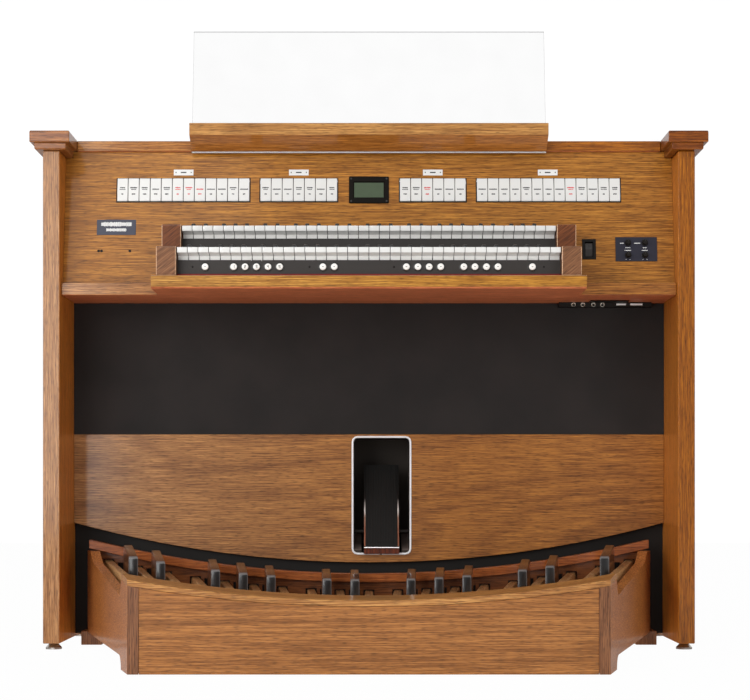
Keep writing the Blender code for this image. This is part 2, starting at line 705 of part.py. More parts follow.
def build_shoe_housing(materials):
    """An open tray behind the knee panel with a ramp at each side, and its bright trim."""
    width, height, level = housing_opening()
    back = KNEE_PLANE + HOUSING_DEPTH
    shell = slab_y(housing_outline(HOUSING_WALL), KNEE_PLANE, back)
    housing = add_object("shoe_housing", shell, materials["black"])
    cut(housing, slab_y(housing_outline(0), KNEE_PLANE - 0.01, back - HOUSING_WALL))
    floor = level - height / 2
    seat = floor - HOUSING_WALL / 2
    ramps = bmesh.new()
    for side in (-1, 1):
        wall = SHOE_CENTRE + side * (width / 2 + HOUSING_WALL / 2)
        foot = SHOE_CENTRE + side * (width / 2 - SHOE_RAMP_WIDTH)
        corner = wall - side * SHOE_RAMP_CORNER
        rings = [[(foot, depth, seat), (corner, depth, seat), (wall, depth, seat + SHOE_RAMP_CORNER),
                  (wall, depth, top), (foot, depth, top)] for depth, top in (
            (KNEE_PLANE + 0.002, floor + SHOE_RAMP_START), (back - GAP, floor + SHOE_RAMP_RISE))]
        loft(rings, ramps)
    fuse(housing, ramps)

    outer = rounded_rectangle(SHOE_TRIM_WIDTH, SHOE_TRIM_HEIGHT, SHOE_TRIM_CORNER, 5,
                              (SHOE_CENTRE, level))
    inner = housing_outline(0)
    crown_outer = rounded_rectangle(SHOE_TRIM_WIDTH - 0.003, SHOE_TRIM_HEIGHT - 0.003,
                                    SHOE_TRIM_CORNER - 0.0015, 5, (SHOE_CENTRE, level))
    crown_inner = housing_outline(0.0015)
    seat = KNEE_PLANE - GAP
    crown = seat - SHOE_TRIM_PROUD
    rings = [[(x, depth, z) for x, z in outline] for outline, depth in (
        (outer, seat), (outer, crown + 0.001), (crown_outer, crown),
        (crown_inner, crown), (inner, crown + 0.001), (inner, seat))]
    add_object("shoe_trim", loft(rings, closed=True), materials["chrome"], smooth=50)


def build_swell_shoe(materials):
    """The expression shoe on its pin, leaning back, with a ribbed tread; origin on the pin."""
    lean = math.radians(SHOE_LEAN)
    pivot = (SHOE_PIVOT_DEPTH, SHOE_PIVOT_LEVEL)
    along = (math.sin(lean), math.cos(lean))
    heel = (SHOE_HEEL_FRONT - pivot[0], SHOE_HEEL_LEVEL - pivot[1])
    toe = (heel[0] + SHOE_LENGTH * along[0], heel[1] + SHOE_LENGTH * along[1])
    lip = heel[1] - SHOE_HEEL_LIP
    lip_back = heel[0] + SHOE_LIP_THICKNESS
    outline = [toe, heel, (heel[0], lip), (lip_back, lip), (lip_back, -SHOE_SOLE_RADIUS)]
    outline += arc_points((0, 0), SHOE_SOLE_RADIUS, -90, -20, 8)
    back = SHOE_TOE_THICKNESS
    outline += [(toe[0] + back * along[1], toe[1] - back * along[0])]
    place = (SHOE_CENTRE, *pivot)
    half = SHOE_WIDTH / 2
    shoe = add_object("swell_shoe", slab_x(outline, -half, half), materials["dark_oak"], place,
                      smooth=30)
    turned = Matrix.Rotation(math.pi / 2, 4, "Y")
    hole = SHOE_PIN_RADIUS + PIN_CLEARANCE
    cut(shoe, lathe([(hole, -SHOE_WIDTH), (hole, SHOE_WIDTH)], 24, None, turned), place)

    span = housing_opening()[0] / 2 - GAP
    pin = lathe([(SHOE_PIN_RADIUS, -span), (SHOE_PIN_RADIUS, span)], 24, None, turned)
    add_object("shoe_pin", pin, materials["steel"], place, smooth=35)

    pitch = TREAD_WIDTH / TREAD_RIBS
    edge = TREAD_WIDTH / 2
    ribbed = [(-edge, 0.0)]
    for index in range(TREAD_RIBS):
        left = -edge + index * pitch
        ribbed += [(left, -TREAD_THICKNESS), (left + 0.55 * pitch, -TREAD_THICKNESS),
                   (left + 0.55 * pitch, TREAD_RIB_HEIGHT - TREAD_THICKNESS),
                   (left + pitch, TREAD_RIB_HEIGHT - TREAD_THICKNESS)]
    ribbed += [(edge, 0.0)]
    rings = []
    for run in (0.002, SHOE_LENGTH - 0.003):
        depth = heel[0] + run * along[0] - GAP * along[1]
        level = heel[1] + run * along[1] + GAP * along[0]
        rings.append([(x, depth + y * along[1], level - y * along[0]) for x, y in ribbed])
    add_object("shoe_tread", loft(rings), materials["black"], place)


def natural_outline(reach):
    """Side profile of a natural key from its front: lip, undercut and body."""
    return [(0.0, 0.0), (reach, 0.0), (reach, -KEY_BODY_HEIGHT),
            (KEY_LIP_RUN, -KEY_BODY_HEIGHT), (KEY_LIP_RUN, -KEY_LIP - KEY_LIP_FALL),
            (0.0, -KEY_LIP)]


def sharp_sites():
    """Centres of the sharps, each set a little off the joint between its naturals."""
    offsets = {0: -0.0022, 1: 0.0022, 3: -0.0028, 4: 0.0, 5: 0.0028}
    first = -NATURALS * KEY_PITCH / 2
    for index in range(NATURALS - 1):
        if index % 7 in SHARP_AFTER:
            yield index, first + (index + 1) * KEY_PITCH + offsets[index % 7]


def add_sharp(bm, x, y=0.0, z=0.0):
    """A sharp's tapered cap, set a little way into the naturals that it stands on."""
    half, top_half = SHARP_WIDTH / 2, SHARP_TOP_WIDTH / 2
    cap_end = SHARP_SETBACK + SHARP_LENGTH
    stations = ((SHARP_SETBACK, 0.001, half), (SHARP_SETBACK + 0.004, SHARP_HEIGHT, top_half),
                (cap_end, SHARP_HEIGHT, top_half))
    rings = [[(x + side, y + run, z + level) for side, level in (
        (-half, -SHARP_SEAT), (half, -SHARP_SEAT), (width, top), (-width, top))]
        for run, top, width in stations]
    return loft(rings, bm)


def build_manual(prefix, front, top, keybed_drop, feet, materials):
    """One keyboard: the key frame with its resting keys, and two keys hinged at the back."""
    place = (0, front, top)
    half = NATURALS * KEY_PITCH / 2
    moving = NATURALS // 2 - 4
    bottom = -KEY_BODY_HEIGHT
    bed = -keybed_drop
    rail_front = KEY_LENGTH - KEY_RAIL_LENGTH
    sites = dict(sharp_sites())

    keys = slab_x(natural_outline(KEY_LENGTH), -half + KEY_GAP / 2, half - KEY_GAP / 2)
    board = add_object(prefix + "_keyboard", keys, materials["key_white"], place)
    frame_half = CHEEK_INNER - GAP
    bed_front = KEY_LIP_RUN + KEYBED_LEAD
    outline = [(bed_front, bed - KEYBED_THICKNESS), (KEY_LENGTH, bed - KEYBED_THICKNESS),
               (KEY_LENGTH, bottom + 0.003), (rail_front, bottom + 0.003), (rail_front, bed),
               (bed_front, bed)]
    fuse(board, slab_x(outline, -frame_half, frame_half), place)
    if feet:
        blocks = bmesh.new()
        floor = DESK_TOP + GAP - top
        near, far = KEYBED_FOOT_FRONT, KEYBED_FOOT_FRONT + KEYBED_FOOT_LENGTH
        for index in range(KEYBED_FEET):
            x = (index - (KEYBED_FEET - 1) / 2) * KEYBED_FOOT_SPREAD
            box((x - KEYBED_FOOT_WIDTH / 2, near, floor),
                (x + KEYBED_FOOT_WIDTH / 2, far, bed - KEYBED_THICKNESS / 2), blocks)
        fuse(board, blocks, place)

    slots = bmesh.new()
    for index in range(1, NATURALS):
        x = -half + index * KEY_PITCH
        box((x - KEY_GAP / 2, -0.01, bottom - 0.002), (x + KEY_GAP / 2, rail_front, 0.01), slots)
    cut(board, slots, place)

    left = -half + moving * KEY_PITCH
    bay = box((left - KEY_GAP / 2, -0.02, bottom - KEY_UNDERCUT),
              (left + KEY_PITCH + KEY_GAP / 2, KEY_LENGTH + 0.01, 0.02))
    cut(board, bay, place)
    sharp_bay = SHARP_WIDTH / 2 + SHARP_GAP
    x = sites[moving]
    bay = box((x - sharp_bay, SHARP_SETBACK - SHARP_GAP, bottom - KEY_UNDERCUT),
              (x + sharp_bay, KEY_LENGTH + 0.01, 0.02))
    cut(board, bay, place)
    sharps = bmesh.new()
    for index, site in sites.items():
        if index != moving:
            add_sharp(sharps, site)
    fuse(board, sharps, place)

    pivot = (0, front + KEY_PIVOT_SETBACK, top - KEY_BODY_HEIGHT / 2)
    shift = (-KEY_PIVOT_SETBACK, KEY_BODY_HEIGHT / 2)
    outline = [(y + shift[0], z + shift[1]) for y, z in natural_outline(KEY_LENGTH)]
    middle = left + KEY_PITCH / 2
    reach = (KEY_PITCH - KEY_GAP) / 2
    natural = add_object(prefix + "_key_c", slab_x(outline, -reach, reach),
                         materials["key_white"], (middle, pivot[1], pivot[2]))
    notch = box((x - sharp_bay, SHARP_SETBACK - SHARP_GAP, bottom - 0.01),
                (x + sharp_bay, KEY_LENGTH + 0.01, 0.03))
    cut(natural, notch, place)
    sharp = bmesh.new()
    stick = SHARP_WIDTH / 2 - GAP
    box((-stick, shift[0] + SHARP_SETBACK + GAP, shift[1] - KEY_BODY_HEIGHT),
        (stick, shift[0] + KEY_LENGTH, shift[1] - SHARP_SEAT / 2), sharp)
    sharp = add_object(prefix + "_key_c_sharp", sharp, materials["black"], (x, pivot[1], pivot[2]))
    fuse(sharp, add_sharp(bmesh.new(), 0.0, *shift), sharp.location)


def build_manuals(materials):
    build_manual("lower", LOWER_KEY_FRONT, LOWER_KEY_TOP, LOWER_KEYBED_DROP, True, materials)
    build_manual("upper", UPPER_KEY_FRONT, UPPER_KEY_TOP, UPPER_KEYBED_DROP, False, materials)


def build_key_cheeks(materials):
    """Blocks at both ends of each manual, cut to the stop panel's lean at the back."""
    levels = (("lower", LOWER_KEY_FRONT - CHEEK_LEAD, DESK_TOP + GAP, LOWER_CHEEK_TOP),
              ("upper", UPPER_KEY_FRONT - CHEEK_LEAD, LOWER_CHEEK_TOP + GAP, UPPER_CHEEK_TOP))
    for row, front, bottom, top in levels:
        outline = [(front, bottom)]
        if row == "lower":
            step = SHELF_FRONT - GAP
            outline += [(step, bottom), (step, SHELF_TOP + GAP),
                        (stop_depth(SHELF_TOP + GAP) - GAP, SHELF_TOP + GAP)]
        else:
            outline += [(stop_depth(bottom) - GAP, bottom)]
        outline += [(stop_depth(top) - GAP, top)]
        outline += arc_points((front + CHEEK_ROUND, top - CHEEK_ROUND), CHEEK_ROUND, 90, 180, 4)
        for name, side in (("left", -1), ("right", 1)):
            low, high = sorted((side * CHEEK_INNER, side * CHEEK_OUTER))
            block = slab_x(outline, low, high)
            add_object(f"{name}_{row}_cheek", block, materials["dark_oak"], smooth=35)


def facing_player(x, depth, level):
    """Frame whose Z runs out of a vertical front face, towards the player."""
    return Matrix.Translation((x, depth, level)) @ Matrix.Rotation(math.pi / 2, 4, "X")


def build_slips(materials):
    """The piston rail below the lower keys with its buttons, and the slip between manuals."""
    half = CHEEK_INNER - GAP
    front = LOWER_KEY_FRONT + SLIP_SETBACK
    bm = box((-half, front, DESK_TOP + GAP),
             (half, front + SLIP_THICKNESS, DESK_TOP + PISTON_RAIL_HEIGHT))
    rail = add_object("piston_rail", bm, materials["charcoal"])
    buttons, holes = bmesh.new(), bmesh.new()
    crown = PISTON_PROUD
    for index, count in enumerate(PISTON_PLACES):
        place = facing_player(count * KEY_PITCH, front, PISTON_LEVEL)
        if index in MOVING_PISTONS:
            hole = PISTON_RADIUS + PISTON_HOLE_GAP
            lathe([(hole, -2 * SLIP_THICKNESS), (hole, SLIP_THICKNESS)], 16, holes, place)
        else:
            lathe([(PISTON_RADIUS, -SLIP_THICKNESS / 2), (PISTON_RADIUS, crown)], 12, buttons,
                  place)
    fuse(rail, buttons)
    cut(rail, holes)
    for number, index in enumerate(MOVING_PISTONS, start=1):
        root = -SLIP_THICKNESS - PISTON_TRAVEL
        bm = lathe([(PISTON_RADIUS - 0.0006, root), (PISTON_RADIUS - 0.0004, crown - 0.0008),
                    (PISTON_RADIUS - 0.0010, crown)], 16, None, Matrix.Rotation(math.pi / 2, 4, "X"))
        place = (PISTON_PLACES[index] * KEY_PITCH, front, PISTON_LEVEL)
        add_object(f"thumb_piston_{number}", bm, materials["key_white"], place, smooth=35)

    front = UPPER_KEY_FRONT + SLIP_SETBACK
    top = UPPER_KEY_TOP - UPPER_SLIP_DROP
    bottom = top - UPPER_SLIP_HEIGHT
    outline = [(front, bottom), (front + SLIP_THICKNESS, bottom),
               (front + SLIP_THICKNESS, top), (front + 0.001, top), (front, top - 0.001)]
    add_object("upper_key_slip", slab_x(outline, -half, half), materials["charcoal"])


def add_tab(bm, x=0.0, y=0.0, z=0.0):
    """A rocker tab with softened front edges, standing proud of the panel."""
    half, tall = (TAB_PITCH - TAB_GAP) / 2, tab_length() / 2
    back = TAB_THICKNESS - TAB_PROUD
    soft = 0.0012
    rings = []
    for depth, inset in ((back, 0.0), (soft - TAB_PROUD, 0.0), (-TAB_PROUD, soft)):
        rings.append([(x - half + inset, y + depth, z - tall + inset),
                      (x + half - inset, y + depth, z - tall + inset),
                      (x + half - inset, y + depth, z + tall - inset),
                      (x - half + inset, y + depth, z + tall - inset)])
    return loft(rings, bm)


def build_tabs(materials):
    """The rail behind the stop panel, the resting tabs on their stems and the hinged tabs."""
    level = TAB_LEVEL
    rail_face = STOP_THICKNESS + TAB_RAIL_GAP
    first = TAB_BANKS[0][0] * TAB_PITCH - TAB_RAIL_SIDE_MARGIN
    last = sum(TAB_BANKS[-1]) * TAB_PITCH + TAB_RAIL_SIDE_MARGIN
    tall = TAB_RAIL_HEIGHT / 2
    bm = box((first, rail_face, -tall), (last, rail_face + TAB_RAIL_DEPTH, tall))
    rail = add_object("tab_rail", bm, materials["key_white"])
    place_on_stop_panel(rail, 0, level)
    place, turn = tuple(rail.location), tuple(rail.rotation_euler)

    posts = bmesh.new()
    spots = [first + TAB_RAIL_SIDE_MARGIN / 2, last - TAB_RAIL_SIDE_MARGIN / 2]
    spots += [(start - 0.5) * TAB_PITCH for start, _ in TAB_BANKS[1:]]
    for x in spots:
        box((x - 0.004, STOP_THICKNESS + GAP, -tall / 2), (x + 0.004, rail_face + 0.002, tall / 2),
            posts)
    fuse(rail, posts, place, turn)

    stems, tabs = bmesh.new(), bmesh.new()
    back = TAB_THICKNESS - TAB_PROUD
    wide, high = TAB_STEM_WIDTH / 2, TAB_STEM_HEIGHT / 2
    number = 0
    for bank, index, x in tab_sites():
        if (bank, index) in MOVING_TABS:
            number += 1
            add_hinged_tab(number, x, level, rail_face, materials)
        else:
            box((x - wide, back - 0.001, -high), (x + wide, rail_face + 0.002, high), stems)
            add_tab(tabs, x)
    fuse(rail, stems, place, turn)
    fuse(rail, tabs, place, turn)


def add_hinged_tab(number, x, level, rail_face, materials):
    shift = -TAB_PIVOT_DEPTH
    wide, high = TAB_STEM_WIDTH / 2, TAB_STEM_HEIGHT / 2
    tab = add_object(f"stop_tab_{number}", add_tab(bmesh.new(), 0.0, shift), materials["key_white"])
    matrix = stop_matrix(x, level) @ Matrix.Translation((0, TAB_PIVOT_DEPTH, 0))
    tab.location = matrix.translation
    tab.rotation_euler = (-STOP_LEAN, 0, 0)
    back = TAB_THICKNESS - TAB_PROUD + shift
    stem = box((-wide, back - 0.001, -high), (wide, rail_face - TAB_SEAT_GAP + shift, high))
    fuse(tab, stem, tuple(tab.location), tuple(tab.rotation_euler))


def build_display(materials):
    bm = box((-DISPLAY_WIDTH / 2, -DISPLAY_PROUD, -DISPLAY_HEIGHT / 2),
             (DISPLAY_WIDTH / 2, -GAP, DISPLAY_HEIGHT / 2))
    unit = add_object("display_unit", bm, materials["black"])
    place_on_stop_panel(unit, 0, DISPLAY_LEVEL)
    place, turn = tuple(unit.location), tuple(unit.rotation_euler)
    add_bevel(unit, 0.0008, 2)
    width, height = DISPLAY_WINDOW_WIDTH / 2 + 0.003, DISPLAY_WINDOW_HEIGHT / 2 + 0.003
    body = box((-width, -GAP - 0.001, -height), (width, DISPLAY_BODY_DEPTH, height))
    fuse(unit, body, place, turn)
    width, height = DISPLAY_WINDOW_WIDTH / 2, DISPLAY_WINDOW_HEIGHT / 2
    glass = DISPLAY_PROUD / 2
    window = [[(x, y, z) for x, z in ((-w, -h), (w, -h), (w, h), (-w, h))] for y, w, h in (
        (-DISPLAY_PROUD - 0.001, width + 0.002, height + 0.002), (-glass, width, height))]
    cut(unit, loft(window), place, turn)


def build_switch(materials):
    """Power switch: a bezel with its well, and the rocker on its axis."""
    width, height = SWITCH_WIDTH / 2, SWITCH_HEIGHT / 2
    bm = box((-width, -SWITCH_PROUD, -height), (width, -GAP, height))
    bezel = add_object("switch_bezel", bm, materials["black"])
    place_on_stop_panel(bezel, SWITCH_X, SWITCH_LEVEL)
    place, turn = tuple(bezel.location), tuple(bezel.rotation_euler)
    add_bevel(bezel, 0.0006, 2)
    inset = 0.003
    body = box((-width + inset, -GAP - 0.0005, -height + inset),
               (width - inset, SWITCH_BODY_DEPTH, height - inset))
    fuse(bezel, body, place, turn)
    wide, tall = width - SWITCH_WALL - inset, height - SWITCH_WALL - inset
    well = box((-wide, -0.02, -tall), (wide, SWITCH_BODY_DEPTH - SWITCH_WALL, tall))
    cut(bezel, well, place, turn)

    swing = math.radians(ROCKER_SWING)
    pivot = 0.010
    reach = tall - GAP - 0.0007
    crest = -pivot + 0.0005
    outline = [(crest + reach * math.tan(swing), -reach), (crest, 0.0),
               (crest + reach * math.tan(swing), reach)]
    outline += arc_points((0, 0), 0.006, 60, -60, 6)
    half = wide - GAP
    rocker = add_object("power_rocker", slab_x(outline, -half, half), materials["black"])
    matrix = stop_matrix(SWITCH_X, SWITCH_LEVEL) @ Matrix.Translation((0, pivot, 0))
    rocker.location = matrix.translation
    rocker.rotation_euler = (-STOP_LEAN, 0, 0)


def build_control_plate(materials):
    width, height = PLATE_WIDTH / 2, PLATE_HEIGHT / 2
    bm = box((-width, -PLATE_THICKNESS - GAP, -height), (width, -GAP, height))
    plate = add_object("control_plate", bm, materials["charcoal"])
    place_on_stop_panel(plate, PLATE_X, PLATE_LEVEL)
    face = PLATE_THICKNESS + GAP
    holes = bmesh.new()
    knob = [(KNOB_SHAFT_RADIUS, -KNOB_SHAFT_LENGTH), (KNOB_SHAFT_RADIUS, 2 * GAP),
            (KNOB_RADIUS, 2 * GAP), (KNOB_RADIUS, KNOB_HEIGHT * 0.4),
            (KNOB_RADIUS * 0.80, KNOB_HEIGHT)]
    outward = Matrix.Rotation(math.pi / 2, 4, "X")
    for number, (x, level) in enumerate(knob_sites(), start=1):
        turned = stop_matrix(x, level) @ outward
        hole = KNOB_SHAFT_RADIUS + GAP
        lathe([(hole, -0.01), (hole, 0.01)], 12, holes, turned)
        obj = add_object(f"control_knob_{number}", lathe(knob, 14, None, outward),
                         materials["black"], smooth=30)
        obj.location = (stop_matrix(x, level) @ Matrix.Translation((0, -face, 0))).translation
        obj.rotation_euler = (-STOP_LEAN, 0, 0)
    cut(plate, holes)


def build_jack_panel(materials):
    """A strip with a leaning face and four jacks, under the shelf at the player's right."""
    top = SHELF_UNDERSIDE - GAP
    low = top - JACK_PANEL_DROP
    front, rear = JACK_PANEL_FRONT, KNEE_PLANE - GAP
    right = INNER_HALF - JACK_PANEL_SIDE_GAP
    outline = [(front, top), (rear, top), (rear, low), (front + JACK_PANEL_SLOPE, low)]
    panel = add_object("connector_panel", slab_x(outline, right - JACK_PANEL_WIDTH, right),
                       materials["black"])
    jacks = bmesh.new()
    tilt = math.atan2(JACK_PANEL_SLOPE, JACK_PANEL_DROP)
    for setback in JACK_SETBACKS:
        place = facing_player(INNER_HALF - setback, front + JACK_PANEL_SLOPE / 2, (top + low) / 2)
        place = place @ Matrix.Rotation(tilt, 4, "X")
        lathe([(JACK_RADIUS, -0.003), (JACK_RADIUS, JACK_LENGTH)], 10, jacks, place)
    fuse(panel, jacks)


def pane_face(level):
    """Depth of the music pane's front face at a level."""
    return PANE_FRONT + (level - PANE_FOOT) * math.tan(math.radians(PANE_LEAN))


def build_music_desk(materials):
    """A clear pane that leans on the top, held by a wooden ledge with an undercut front."""
    half = DESK_PANE_WIDTH / 2
    bm = box((-half, 0, 0), (half, PANE_THICKNESS, PANE_LENGTH))
    pane = add_object("music_pane", bm, materials["acrylic"], (0, PANE_FRONT, PANE_FOOT))
    pane.rotation_euler = (-math.radians(PANE_LEAN), 0, 0)
    add_bevel(pane, 0.0005, 1)
    half = LEDGE_WIDTH / 2
    lower = LEDGE_TOP - LEDGE_FACE
    outline = [(LEDGE_FRONT, lower), (LEDGE_FRONT, LEDGE_TOP - 0.002),
               (LEDGE_FRONT + 0.002, LEDGE_TOP), (pane_face(LEDGE_TOP) - GAP, LEDGE_TOP),
               (pane_face(LEDGE_FOOT) - GAP, LEDGE_FOOT),
               (pane_face(LEDGE_FOOT) - 0.004, LEDGE_FOOT)]
    add_object("music_ledge", slab_x(outline, -half, half), materials["oak"])


def build_inside(materials):
    """Two loudspeakers behind the grille, and the finned sound module on the back panel."""
    seat = KNEE_PLANE + GRILLE_THICKNESS + GAP
    level = (GRILLE_FOOT + SHELF_UNDERSIDE) / 2
    rim, cone = SPEAKER_RADIUS, SPEAKER_RADIUS * 0.82
    profile = [(0.018, -CONE_DEPTH * 0.6), (0.030, -CONE_DEPTH), (cone, -0.003), (cone + 0.003, 0.0),
               (rim, 0.0), (rim, -0.005), (cone + 0.004, -0.008),
               (MAGNET_RADIUS + 0.008, -SPEAKER_DEPTH * 0.6),
               (MAGNET_RADIUS, -SPEAKER_DEPTH * 0.62), (MAGNET_RADIUS, -SPEAKER_DEPTH)]
    for name, side in (("left_speaker", -1), ("right_speaker", 1)):
        place = (side * SPEAKER_SPACING / 2, seat, level)
        bm = lathe(profile, 16, None, Matrix.Rotation(math.pi / 2, 4, "X"))
        add_object(name, bm, materials["charcoal"], place, smooth=30)
    front = BACK_FACE - GAP - MODULE_DEPTH
    fin = MODULE_DEPTH * 0.4
    pitch = MODULE_WIDTH / MODULE_FINS
    outline = []
    for index in range(MODULE_FINS):
        left = -MODULE_WIDTH / 2 + index * pitch
        outline += [(left, fin), (left, 0.0), (left + pitch / 3, 0.0), (left + pitch / 3, fin)]
    outline += [(MODULE_WIDTH / 2, fin), (MODULE_WIDTH / 2, MODULE_DEPTH),
                (-MODULE_WIDTH / 2, MODULE_DEPTH)]
    level = GRILLE_FOOT + MODULE_RISE
    rings = [[(x, front + y, z) for x, y in outline]
             for z in (level - MODULE_HEIGHT / 2, level + MODULE_HEIGHT / 2)]
    add_object("sound_module", loft(rings), materials["steel"])


def dish(x, radius=PEDAL_DISH_RADIUS):
    """Rise of the concave pedalboard at a distance from its middle."""
    return radius - math.sqrt(radius ** 2 - x ** 2)


def cheek_outer(depth):
    """Half width over the flared cheeks at a depth."""
    flare = (BOARD_REAR_HALF - BOARD_FRONT_HALF) / (BOARD_REAR - BOARD_FRONT)
    return BOARD_FRONT_HALF + (depth - BOARD_FRONT) * flare


def cheek_inner(depth):
    return cheek_outer(depth) - PEDAL_CHEEK_THICKNESS


def pedal_x(tangent, depth):
    return tangent * (depth - PEDAL_CENTRE)


def pedal_top(tangent, depth):
    """Level of a pedal's top: a straight line between its heel and its toe."""
    heel = PEDAL_TOP + dish(pedal_x(tangent, PEDAL_HEEL))
    toe = PEDAL_TOP + dish(pedal_x(tangent, PEDAL_TOE))
    return heel + (toe - heel) * (depth - PEDAL_HEEL) / (PEDAL_TOE - PEDAL_HEEL)


def pedal_sites():
    """Place in the row of naturals, tangent of the angle and whether it is a sharp."""
    middle = (PEDAL_NATURALS - 1) / 2
    for index in range(PEDAL_NATURALS):
        yield float(index), (index - middle) * PEDAL_FAN, False
        if index % 7 in SHARP_AFTER and index < PEDAL_NATURALS - 1:
            place = index + 0.5
            yield place, (place - middle) * PEDAL_FAN, True


def add_pedal_bar(bm, tangent, drop, origin=(0.0, 0.0, 0.0)):
    """The rounded wooden bar of one pedal, from its heel through the guide board."""
    stretch = math.hypot(1.0, tangent)
    half, r = PEDAL_WIDTH / 2 * stretch, PEDAL_ROUND
    outline = [(-half, -PEDAL_HEIGHT), (half, -PEDAL_HEIGHT), (half, -drop - r),
               (half - r, -drop), (r - half, -drop), (-half, -drop - r)]
    rings = []
    for depth in (PEDAL_HEEL - HEEL_RAIL_BACK, PEDAL_TOE):
        x, top = pedal_x(tangent, depth), pedal_top(tangent, depth)
        rings.append([(x + dx - origin[0], depth - origin[1], top + dz - origin[2])
                      for dx, dz in outline])
    return loft(rings, bm)


def add_pedal_sharp(bm, tangent, origin=(0.0, 0.0, 0.0)):
    """The block on a sharp pedal's low bar: it climbs to the back, with softened top edges."""
    stretch = math.hypot(1.0, tangent)
    half, soft = PEDAL_SHARP_WIDTH / 2 * stretch, PEDAL_SHARP_ROUND
    front = PEDAL_CENTRE + PEDAL_ARC_RADIUS / stretch
    rear = front + PEDAL_SHARP_LENGTH / stretch
    stations = ((front, -soft), (front + soft, 0.0), (rear - soft, 0.0), (rear, -soft))
    rings = []
    for depth, drop in stations:
        x, base = pedal_x(tangent, depth), pedal_top(tangent, depth)
        climb = PEDAL_SHARP_CLIMB * (depth - front) / (rear - front)
        top = base + PEDAL_SHARP_RISE + climb + drop
        low = base - STICK_DROP - PEDAL_SHARP_SEAT
        rings.append([(x + dx - origin[0], depth - origin[1], z - origin[2]) for dx, z in (
            (-half, low), (half, low), (half, top - soft), (half - soft, top),
            (soft - half, top), (-half, top - soft))])
    return loft(rings, bm)


def build_pedals(materials):
    """The resting pedals on their heel rail, and two pedals hinged at the heel."""
    steps = 24
    rail_half = cheek_inner(PEDAL_HEEL - HEEL_RAIL_FRONT) - GAP
    rings = []
    for step in range(steps + 1):
        x = -rail_half + 2 * rail_half * step / steps
        top = PEDAL_TOP + dish(x) - PEDAL_HEIGHT + HEEL_RAIL_LAP
        front, back = PEDAL_HEEL - HEEL_RAIL_FRONT, PEDAL_HEEL + HEEL_RAIL_BACK
        rings.append([(x, front, top - HEEL_RAIL_HEIGHT), (x, back, top - HEEL_RAIL_HEIGHT),
                      (x, back, top), (x, front, top)])
    bank = add_object("pedal_bank", loft(rings), materials["ash"])
    bars, sharps = bmesh.new(), bmesh.new()
    for place, tangent, is_sharp in pedal_sites():
        if place in MOVING_PEDALS:
            x = pedal_x(tangent, PEDAL_HEEL)
            seat = pedal_top(tangent, PEDAL_HEEL) - PEDAL_HEIGHT
            reach = PEDAL_WIDTH / 2 + PEDAL_SIDE_GAP
            cut(bank, box((x - reach, PEDAL_HEEL - 0.05, seat - HEEL_SEAT_GAP),
                          (x + reach, PEDAL_HEEL + 0.05, seat + 0.05)))
            build_hinged_pedal(tangent, is_sharp, (x, PEDAL_HEEL, seat), materials)
        else:
            add_pedal_bar(bars, tangent, STICK_DROP if is_sharp else 0.0)
            if is_sharp:
                add_pedal_sharp(sharps, tangent)
    fuse(bank, bars)
    fuse(bank, sharps)


def build_hinged_pedal(tangent, is_sharp, origin, materials):
    name = "sharp_pedal" if is_sharp else "natural_pedal"
    bar = add_pedal_bar(bmesh.new(), tangent, STICK_DROP if is_sharp else 0.0, origin)
    pedal = add_object(name, bar, materials["ash"], origin)
    if is_sharp:
        fuse(pedal, add_pedal_sharp(bmesh.new(), tangent, origin), origin)


def build_pedalboard_cheeks(materials):
    rail_seat = REAR_RAIL_BOTTOM + dish(cheek_inner(REAR_RAIL_FRONT), REAR_RAIL_RADIUS) - GAP
    front = BOARD_FRONT
    crest, waist = CHEEK_CREST_DEPTH, CHEEK_WAIST_DEPTH
    outline = [(CHEEK_STEP_DEPTH, CHEEK_STEP), (waist, CHEEK_WAIST)]
    steps = 6
    for step in range(1, steps + 1):
        t = step / steps
        outline.append((waist + (crest - waist) * t,
                        CHEEK_WAIST + (rail_seat - CHEEK_WAIST) * t * t))
    foot = front + CHEEK_FOOT_LENGTH
    outline += [(BOARD_REAR, rail_seat), (BOARD_REAR, CHEEK_CLEARANCE)]
    outline += [(foot + CHEEK_ARCH - CHEEK_ARCH * math.sin(a), CHEEK_CLEARANCE * math.cos(a))
                for a in [math.pi / 2 * i / 6 for i in range(7)]]
    toe_seat = KNEE_PLANE + KNEE_THICKNESS
    for name, side in (("left", -1), ("right", 1)):
        rings = []
        for edge in (cheek_inner, cheek_outer):
            head = [(y, cover_top(edge(y), y) - COVER_THICKNESS - GAP) for y in (front, COVER_REAR)]
            rings.append([(side * edge(y), y, z) for y, z in [(front, 0.0)] + head + outline])
        cheek = add_object(f"pedalboard_{name}_cheek", loft(rings), materials["oak"])
        middle = side * (cheek_inner(BOARD_REAR) + PEDAL_CHEEK_THICKNESS / 2)
        block = box((middle - REAR_FOOT_WIDTH / 2, REAR_FOOT_FRONT, 0.0),
                    (middle + REAR_FOOT_WIDTH / 2, toe_seat, CHEEK_CLEARANCE + 0.004))
        fuse(cheek, block)


def cover_top(x, depth):
    """Level of the dished cover's top, which rises a little to its back edge."""
    rise = COVER_RISE * (depth - BOARD_FRONT) / COVER_DEPTH
    return COVER_TOP + dish(x, COVER_ARC_RADIUS) + rise


def arched_board(front, back, half, low, high, steps=16):
    """A board across the pedalboard whose lower and upper edges are functions of x."""
    rings = []
    for step in range(steps + 1):
        x = -half + 2 * half * step / steps
        rings.append([(x, front, low(x)), (x, back, low(x)), (x, back, high(x)),
                      (x, front, high(x))])
    return loft(rings)


